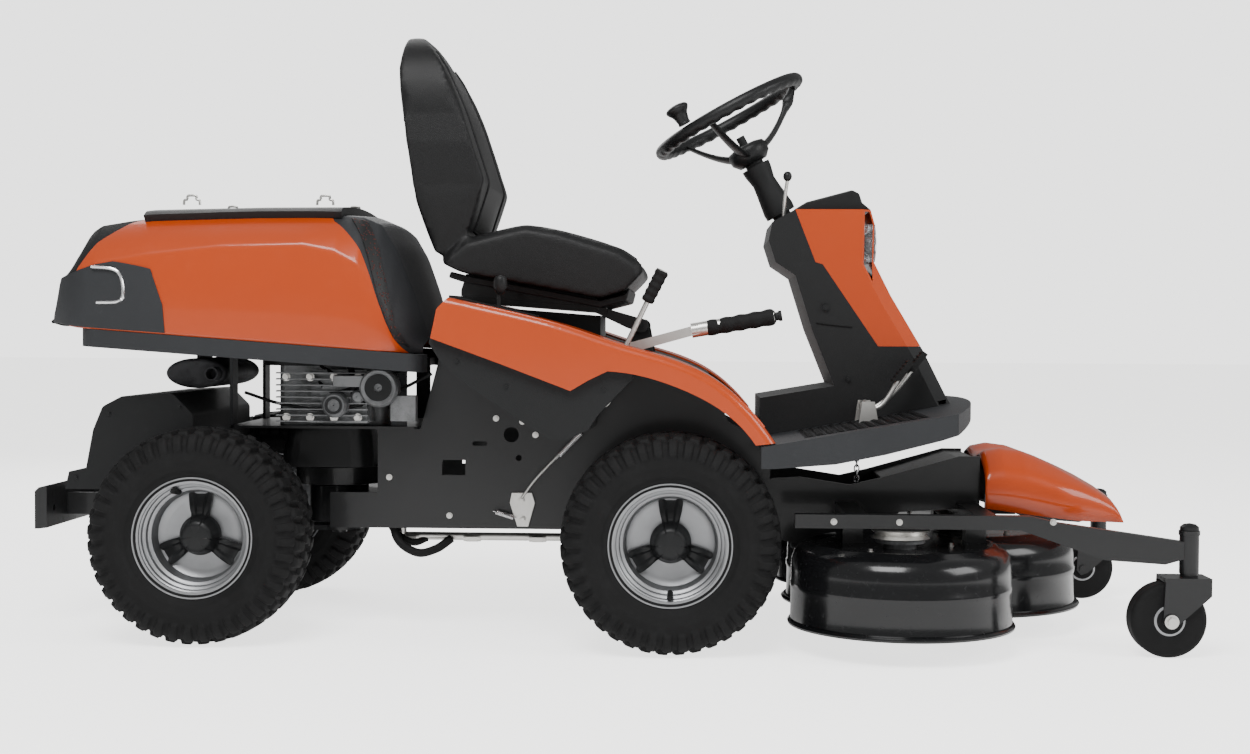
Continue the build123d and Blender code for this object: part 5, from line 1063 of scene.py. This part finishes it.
class MOWER_OT_controls(bpy.types.Operator):
    """Builds the throttle knob, the lever grips, and the pedals' bars and ribbed pads"""

    bl_idname = "mower.controls"
    bl_label = "Controls"

    def execute(self, context):
        lift_y = (near("lift_lever", 1) + far("lift_lever", 1)) / 2 / MM
        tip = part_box("throttle_lever")[1]
        knob = np.array([(-0.017, 0.0006), (-0.015, 0.008), (0, 0.0125), (0.013, 0.0115), (0.017, 0.007),
                         (0.018, 0.0006)])
        build("throttle_knob", turned(smooth_line(knob, 24).clip([-1, 0.0005], [1, 1]),
              (tip[0] - 0.012, middle("throttle_lever")[1], tip[2] - 0.012), (0, 0, 1), 32), "satin",
              "throttle_lever", angle=60)
        build("lift_grip", [grip(at(62, lift_y, 597), at(196, lift_y, 621), 0.0155)], "grip", "lift_lever",
              angle=60)
        height_y = (near("height_lever", 1) + far("height_lever", 1)) / 2 / MM
        build("height_grip", [grip(at(-48, height_y, 646), at(-18, height_y, 706), 0.0125)], "grip",
              "height_lever", angle=60)
        for name in ("forward_pedal", "reverse_pedal", "brake_pedal"):
            low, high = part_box(name)
            y = (low[1] + high[1]) / 2
            pivot = at(375, y / MM, 449)
            pad = np.array([high[0] - 0.016, y, high[2] - 0.026])
            bend = pivot + 0.55 * (pad - pivot) + (0.004, 0, -0.016)
            bar = smooth_line([pivot + (-0.004, 0, 0.002), pivot + (0.02, 0, -0.002), bend,
                               pad - (0.004, 0, 0.004)], 40)
            shaft = turned(np.array([(-0.011, 0.004), (-0.011, 0.0115), (0.011, 0.0115), (0.011, 0.004)]),
                           pivot, (0, 1, 0), 32)
            build(f"{name}_bar", [tube(bar, 0.0048, 12), shaft], "plated", name)
            lean = math.radians(52)
            along, out = np.array([math.cos(lean), math.sin(lean)]), np.array([math.sin(lean),
                                                                               -math.cos(lean)])
            ridge = np.linspace(-0.026, 0.026, 60)
            face = 0.0065 + 0.0018 * pulse(ridge / 0.0087, 0.5, 0.15)
            upper = pad[[0, 2]] + ridge[:, None] * along - face[:, None] * out
            lower = pad[[0, 2]] + ridge[::-12, None] * along + 0.004 * out
            build(f"{name}_pad", prism(np.vstack([upper, lower]), y - 0.019, y + 0.019), "grip", name, name,
                  angle=30, bevel=0.0012)
        return {"FINISHED"}


# ---- seat ----------------------------------------------------------------------------------------------
SEAT_SEAM = 0.135


class MOWER_OT_seat(bpy.types.Operator):
    """Inflates the seat between its seams, lays piping along two of them, and adds the pan and the riser"""

    bl_idname = "mower.seat"
    bl_label = "Seat"

    def execute(self, context):
        scene = context.scene
        mesh = frame["nodes"]["seat_cushion"].data.copy()
        seat = bpy.data.objects.new("seat_padding", mesh)
        scene.collection.objects.link(seat)
        self.block(seat, 0.006)
        rest = vertices(seat.data)
        self.inflate(seat, scene)
        moved = vertices(seat.data)
        shift = moved - rest
        reach = np.linalg.norm(shift, axis=1)[:, None]
        moved = rest + shift * np.minimum(1, 0.012 / np.maximum(reach, 1e-9))
        low, high = (np.array(v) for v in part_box("seat_cushion"))
        moved = np.clip(moved, low - 0.004, high + 0.004)
        seat.data.vertices.foreach_set("co", moved.ravel())
        seat.data.update()
        seat.data.materials.clear()
        seat.data.materials.append(FINISHES["vinyl"])
        seat.data.shade_smooth()
        soft = seat.modifiers.new("soft", "SUBSURF")
        soft.levels = soft.render_levels = 1
        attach(seat, "seat")
        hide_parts("seat_cushion")
        context.view_layer.update()
        self.pipe(seat, scene.mower_sizes.piping)
        pan = places([(-432, 706), (-411, 700), (-140, 651), (-96, 662), (-84, 674), (-90, 650), (-140, 637),
                      (-411, 686), (-436, 694)])
        build("seat_pan", prism(pan, -0.2, 0.2), "trim", "seat", angle=30, bevel=0.003)
        top, under = [], []
        for x in np.linspace(FRONT_X - 0.39, FRONT_X - 0.145, 12):
            top.append(land("seat_tilt_frame", (x, -0.12, 0.3), (0, 0, 1))[0][[0, 2]] - (0, 0.006))
            under.append((x, land("seat_platform", (x, -0.09, 0.9), (0, 0, -1))[0][2] - 0.004))
        build("seat_riser", prism(np.vstack([under, top[::-1]]), -0.105, 0.105), "satin", "front_chassis",
              angle=30)
        return {"FINISHED"}

    def apply(self, piece):
        found = bpy.context.evaluated_depsgraph_get()
        made = bpy.data.meshes.new_from_object(piece.evaluated_get(found))
        piece.modifiers.clear()
        piece.data = made

    def block(self, piece, size):
        """Even mesh over the seat's outer form."""
        remesh = piece.modifiers.new("even", "REMESH")
        remesh.mode = "VOXEL"
        remesh.voxel_size = size
        remesh.use_smooth_shade = True
        self.apply(piece)

    def seam_mask(self, co):
        """Points that hold still: near the two lengthwise seams, the outer welt and the cross seam, and
        the underside."""
        low, high = (np.array(v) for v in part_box("seat_cushion"))
        near_line = np.abs(np.abs(co[:, 1]) - SEAT_SEAM) < 0.004
        welt = np.abs(co[:, 1]) > high[1] - 0.004
        cross = np.abs(co[:, 2] - (low[2] + 0.42 * (high[2] - low[2]))) < 0.004
        under = co[:, 2] < low[2] + 0.012
        return near_line | welt | cross | under

    def inflate(self, piece, scene):
        pins = piece.vertex_groups.new(name="seams")
        mask = self.seam_mask(vertices(piece.data))
        pins.add(np.flatnonzero(mask).tolist(), 1.0, "REPLACE")
        cloth = piece.modifiers.new("cloth", "CLOTH")
        cloth.settings.use_pressure = True
        cloth.settings.uniform_pressure_force = 4
        cloth.settings.effector_weights.gravity = 0
        cloth.settings.vertex_group_mass = "seams"
        cloth.settings.quality = 5
        first, last = 1, 20
        cloth.point_cache.frame_start, cloth.point_cache.frame_end = first, last
        scene.frame_start, scene.frame_end = first, last
        for number in range(first, last + 1):
            scene.frame_set(number)
        self.apply(piece)
        scene.frame_set(first)

    def pipe(self, seat, radius):
        """Round welts pressed half into the seat's skin along both lengthwise seams."""
        outline = smooth_line(places([(-70, 735), (-102, 751), (-218, 785), (-285, 790), (-353, 781),
                                      (-392, 786), (-405, 800), (-380, 860), (-372, 900), (-409, 1017),
                                      (-452, 1113), (-480, 1135)]), 140)
        shapes = []
        for y in (-SEAT_SEAM, SEAT_SEAM):
            path = []
            for x, z in outline:
                _, point, normal, _ = seat.closest_point_on_mesh(Vector((x, y, z)))
                path.append(np.array(point) + np.array(normal) * radius * 0.3)
            path = np.array(path)
            path[:, 1] = y
            for _ in range(4):
                path[1:-1] = (path[:-2] + 2 * path[1:-1] + path[2:]) / 4
            shapes.append(tube(path, radius, 10))
        build("seat_piping", shapes, "vinyl", "seat", angle=60)


# ---- deck ----------------------------------------------------------------------------------------------
DECK_LOBES = ((0.567, -0.300, 0.211), (0.567, 0.300, 0.211), (0.727, 0.0, 0.235), (0.585, 0.0, 0.225))
DECK_MIDDLE = np.array([0.60, 0.0])
DECK_WALL = np.array([(-10, 57), (-4, 54.5), (0, 51), (-2, 47), (-9, 47.5), (-13, 56), (-14, 75),
                      (-14.5, 112), (-12.5, 116), (-12.5, 124), (-15, 128), (-15, 150), (-17, 166),
                      (-25, 180), (-38, 187), (-54, 189), (-60, 193), (-74, 194), (-82, 190),
                      (-98, 189)]) * MM


def deck_outline(angle):
    """Distance from the middle to the deck's edge: for each lobe the far crossing of a ray with its circle,
    d cos t + sqrt(R^2 - d^2 sin^2 t), joined by a soft maximum."""
    reach = []
    for x, y, radius in DECK_LOBES:
        d, way = math.hypot(x - DECK_MIDDLE[0], y), math.atan2(y, x - DECK_MIDDLE[0])
        turn = angle - way
        inside = radius**2 - (d * np.sin(turn)) ** 2
        crossing = d * np.cos(turn) + np.sqrt(np.maximum(inside, 0))
        reach.append(np.where((inside > 0) & (crossing > 0), crossing, 0.12))
    sharpness = 130.0
    return np.log(np.exp(sharpness * np.array(reach)).sum(0)) / sharpness


def deck_skin():
    """Skirt rows set in from the lobed edge, then rings that shrink towards the middle of the top."""
    around, half_width = 420, 0.512
    angle = np.linspace(0, 2 * math.pi, around, endpoint=False)
    edge = deck_outline(angle)
    edge = np.minimum(edge, half_width / np.maximum(np.abs(np.sin(angle)), 1e-6))
    ray = np.stack([np.cos(angle), np.sin(angle)], -1)
    rows = [np.insert(DECK_MIDDLE + (edge + inset)[:, None] * ray, 2, z, axis=1) for inset, z in DECK_WALL]
    for share in (0.86, 0.7, 0.5, 0.3, 0.1):
        rows.append(np.insert(DECK_MIDDLE + (share * (edge - 0.098))[:, None] * ray, 2,
                              0.189 + 0.008 * (1 - share), axis=1))
    points, faces = grid(np.array(rows), wrap_v=True)
    last = len(rows) - 1
    faces.append([last * around + i for i in range(around)])
    return points, faces


COVER_CREST = places([(610, 352), (618, 362), (650, 369), (690, 364), (720, 353), (760, 333), (805, 310),
                      (840, 290), (864, 272), (877, 252), (883, 228)])
COVER_FOOT = places([(610, 250), (700, 238), (800, 226), (880, 222)])
COVER_GRID = (60, 91)


def deck_cover(reach):
    """Cover over the belt: with v from -1 to 1 across, y is the half width times sin(v pi/2), and the height
    is a power of cos(v pi/2) between the foot and crest curves in x, lifted by a bell on each side of the
    middle; the front half narrows."""
    x = np.linspace(COVER_CREST[0, 0], COVER_CREST[-1, 0], COVER_GRID[0])[:, None]
    v = np.linspace(-1, 1, COVER_GRID[1])[None, :]
    crest = np.interp(x, COVER_CREST[:, 0], COVER_CREST[:, 1])
    foot = np.interp(x, COVER_FOOT[:, 0], COVER_FOOT[:, 1])
    u = (x - x[0]) / (x[-1] - x[0])
    across = np.sin(v * math.pi / 2)
    section = np.cos(v * math.pi / 2) ** 0.32
    humps = 0.86 + 0.14 * np.exp(-(((np.abs(across) - 0.52) / 0.26) ** 2)) - 0.03 * step(u, 0.3, 1.0)
    humps = np.minimum(1.0, humps + 0.14 * step(u, 0.4, 0.85))
    half = (reach - 0.001) * (1 - 0.16 * step(u, 0.5, 1.0))
    z = foot + (crest - foot) * section * humps
    points = np.stack(np.broadcast_arrays(x, across * half, z), -1)
    return grid(points)


class MOWER_OT_deck(bpy.types.Operator):
    """Builds the deck's lobed skin and belt cover, and adds bolts, the lift chain and the casters' details"""

    bl_idname = "mower.deck"
    bl_label = "Deck"

    def execute(self, context):
        bolt = context.scene.mower_sizes.bolt
        build("deck_skin", deck_skin(), "deck", "deck", "deck_shell", angle=50, wall=0.0025)
        reach = far("deck_cover", 1)
        build("belt_cover", deck_cover(reach), "body", "deck", "deck_cover", angle=45, wall=0.0035)
        liner, _ = deck_cover(reach - 0.012)
        inside = liner.reshape(*COVER_GRID, 3)[:14]
        inside[..., 2] = np.maximum(inside[..., 2] - 0.014, COVER_FOOT[1, 1])
        build("belt_cover_lining", grid(inside), "trim", "deck", angle=45, wall=0.002)
        screws = bolts_on("deck_frame", [at(700, -600, 246), at(300, -600, 243), at(420, -600, 243)],
                          (0, 1, 0), bolt, 0.006)
        build("arm_bolts", both(join(screws)), "plated", "deck")
        heads = [nut((x, y, 0.193), (0, 0, 1), bolt, 0.006) for x, y in ((0.50, -0.40), (0.66, -0.30),
                                                                         (0.80, -0.10), (0.80, 0.10),
                                                                         (0.66, 0.30), (0.50, 0.40))]
        build("deck_bolts", heads, "plated", "deck")
        links = []
        for k, z in enumerate(np.linspace(296, 338, 5)):
            ring = np.linspace(0, 2 * math.pi, 20)
            wide, tall = 0.0045 * np.cos(ring), 0.0075 * np.sin(ring)
            flat = np.zeros(20)
            loop = np.stack([flat, wide, tall] if k % 2 else [wide, flat, tall], -1)
            links.append(tube(at(371, -50, z) + loop, 0.0016, 6))
        build("lift_chain", links, "bright", "deck", angle=60)
        for name, side in SIDES:
            body = f"caster_{name}"
            spot, _ = hinge(f"caster_{name}_swivel")
            top = far(f"caster_fork_{name}", 2)
            build(f"caster_cap_{name}",
                  turned(np.array([(0, 0.001), (0, 0.017), (0.006, 0.017), (0.011, 0.011), (0.013, 0.001)]),
                         (spot[0], spot[1], top - 0.003), (0, 0, 1), 32), "satin", body, angle=40)
            centre, _ = hinge(f"caster_wheel_{name}_spin")
            width = (far(f"caster_wheel_{name}", 1) - near(f"caster_wheel_{name}", 1)) / 2
            shapes = []
            for way in (-1, 1):
                face = np.array([(width - 0.004, 0.009), (width - 0.0005, 0.012), (width - 0.0005, 0.026),
                                 (width - 0.006, 0.034), (width - 0.008, 0.009)]) * (way, 1)
                shapes.append(turned(face, centre, (0, 1, 0), 48))
            build(f"caster_hub_{name}", shapes, "rim", f"caster_wheel_{name}", angle=35)
            out = near(f"caster_fork_{name}", 1) if side < 0 else far(f"caster_fork_{name}", 1)
            build(f"caster_nut_{name}", [nut((centre[0], out, centre[2]), (0, side, 0), 0.009, 0.008)],
                  "plated", body)
        return {"FINISHED"}


# ---- stage ---------------------------------------------------------------------------------------------
class MOWER_OT_stage(bpy.types.Operator):
    """Sets the pale floor, the soft lights and the camera"""

    bl_idname = "mower.stage"
    bl_label = "Stage"

    def execute(self, context):
        scene = context.scene
        FINISHES["paper"] = pale_floor("studio_paper", scene.mower_colours.floor)
        floor = build("floor", grid(np.array([[(-30, -30, 0), (-30, 30, 0)], [(30, -30, 0), (30, 30, 0)]],
                                             float)), "paper", "front_chassis")
        world = bpy.data.worlds.new("studio")
        world.use_nodes = True
        back = world.node_tree.nodes["Background"]
        back.inputs["Color"].default_value = (0.97, 0.97, 0.965, 1)
        seen = world.node_tree.nodes.new("ShaderNodeLightPath")
        level = world.node_tree.nodes.new("ShaderNodeMapRange")
        level.inputs["To Min"].default_value, level.inputs["To Max"].default_value = 0.36, 2.6
        world.node_tree.links.new(seen.outputs["Is Camera Ray"], level.inputs["Value"])
        world.node_tree.links.new(level.outputs["Result"], back.inputs["Strength"])
        scene.world = world
        for name, spot, size, power, aim in (
            ("key", (-0.6, -2.8, 3.9), 2.2, 170, (0, 0, 0.5)),
            ("fill", (3.4, -1.6, 2.2), 1.8, 60, (0.3, 0, 0.5)),
            ("rim", (-1.5, 3.2, 2.8), 3.0, 70, (0, 0, 0.7)),
        ):
            light = bpy.data.lights.new(name, "AREA")
            light.size, light.energy = size, power
            lamp = bpy.data.objects.new(name, light)
            lamp.location = spot
            lamp.rotation_euler = (Vector(aim) - Vector(spot)).to_track_quat("-Z", "Y").to_euler()
            scene.collection.objects.link(lamp)
        turn, tip, roll = math.radians(2.2), math.radians(1.558), math.radians(0.3)
        ahead = Vector((-math.sin(turn) * math.cos(tip), math.cos(turn) * math.cos(tip), -math.sin(tip)))
        lens = bpy.data.cameras.new("view")
        lens.sensor_width, lens.lens = 36, 48.7296
        camera = bpy.data.objects.new("view", lens)
        facing = ahead.to_track_quat("-Z", "Y").to_matrix().to_4x4()
        spot = Matrix.Translation((FRONT_X + 0.0338, -3.474, 0.5918))
        camera.matrix_world = spot @ facing @ Matrix.Rotation(roll, 4, "Z")
        scene.collection.objects.link(camera)
        scene.camera = camera
        return {"FINISHED"}


STEPS = (
    MOWER_OT_finishes, MOWER_OT_wheels, MOWER_OT_hood, MOWER_OT_fenders, MOWER_OT_chassis, MOWER_OT_engine,
    MOWER_OT_carriage, MOWER_OT_console, MOWER_OT_steering, MOWER_OT_controls, MOWER_OT_seat, MOWER_OT_deck,
    MOWER_OT_stage,
)


class MOWER_PT_panel(bpy.types.Panel):
    """Sizes, colours and one button per group"""

    bl_idname = "MOWER_PT_panel"
    bl_label = "Riding mower"
    bl_space_type = "VIEW_3D"
    bl_region_type = "UI"
    bl_category = "Mower"

    def draw(self, context):
        layout = self.layout
        for group in (context.scene.mower_sizes, context.scene.mower_colours):
            for name in group.__annotations__:
                layout.prop(group, name)
        for step_class in STEPS:
            layout.operator(step_class.bl_idname)


CLASSES = (MowerColours, MowerSizes, *STEPS, MOWER_PT_panel)


def register():
    for item in CLASSES:
        bpy.utils.register_class(item)
    bpy.types.Scene.mower_colours = bpy.props.PointerProperty(type=MowerColours)
    bpy.types.Scene.mower_sizes = bpy.props.PointerProperty(type=MowerSizes)


def unregister():
    del bpy.types.Scene.mower_sizes
    del bpy.types.Scene.mower_colours
    for item in reversed(CLASSES):
        bpy.utils.unregister_class(item)


def main():
    """Builds every group in order."""
    register()
    for item in STEPS:
        group, call = item.bl_idname.split(".")
        getattr(getattr(bpy.ops, group), call)()


if __name__ == "__main__":
    main()
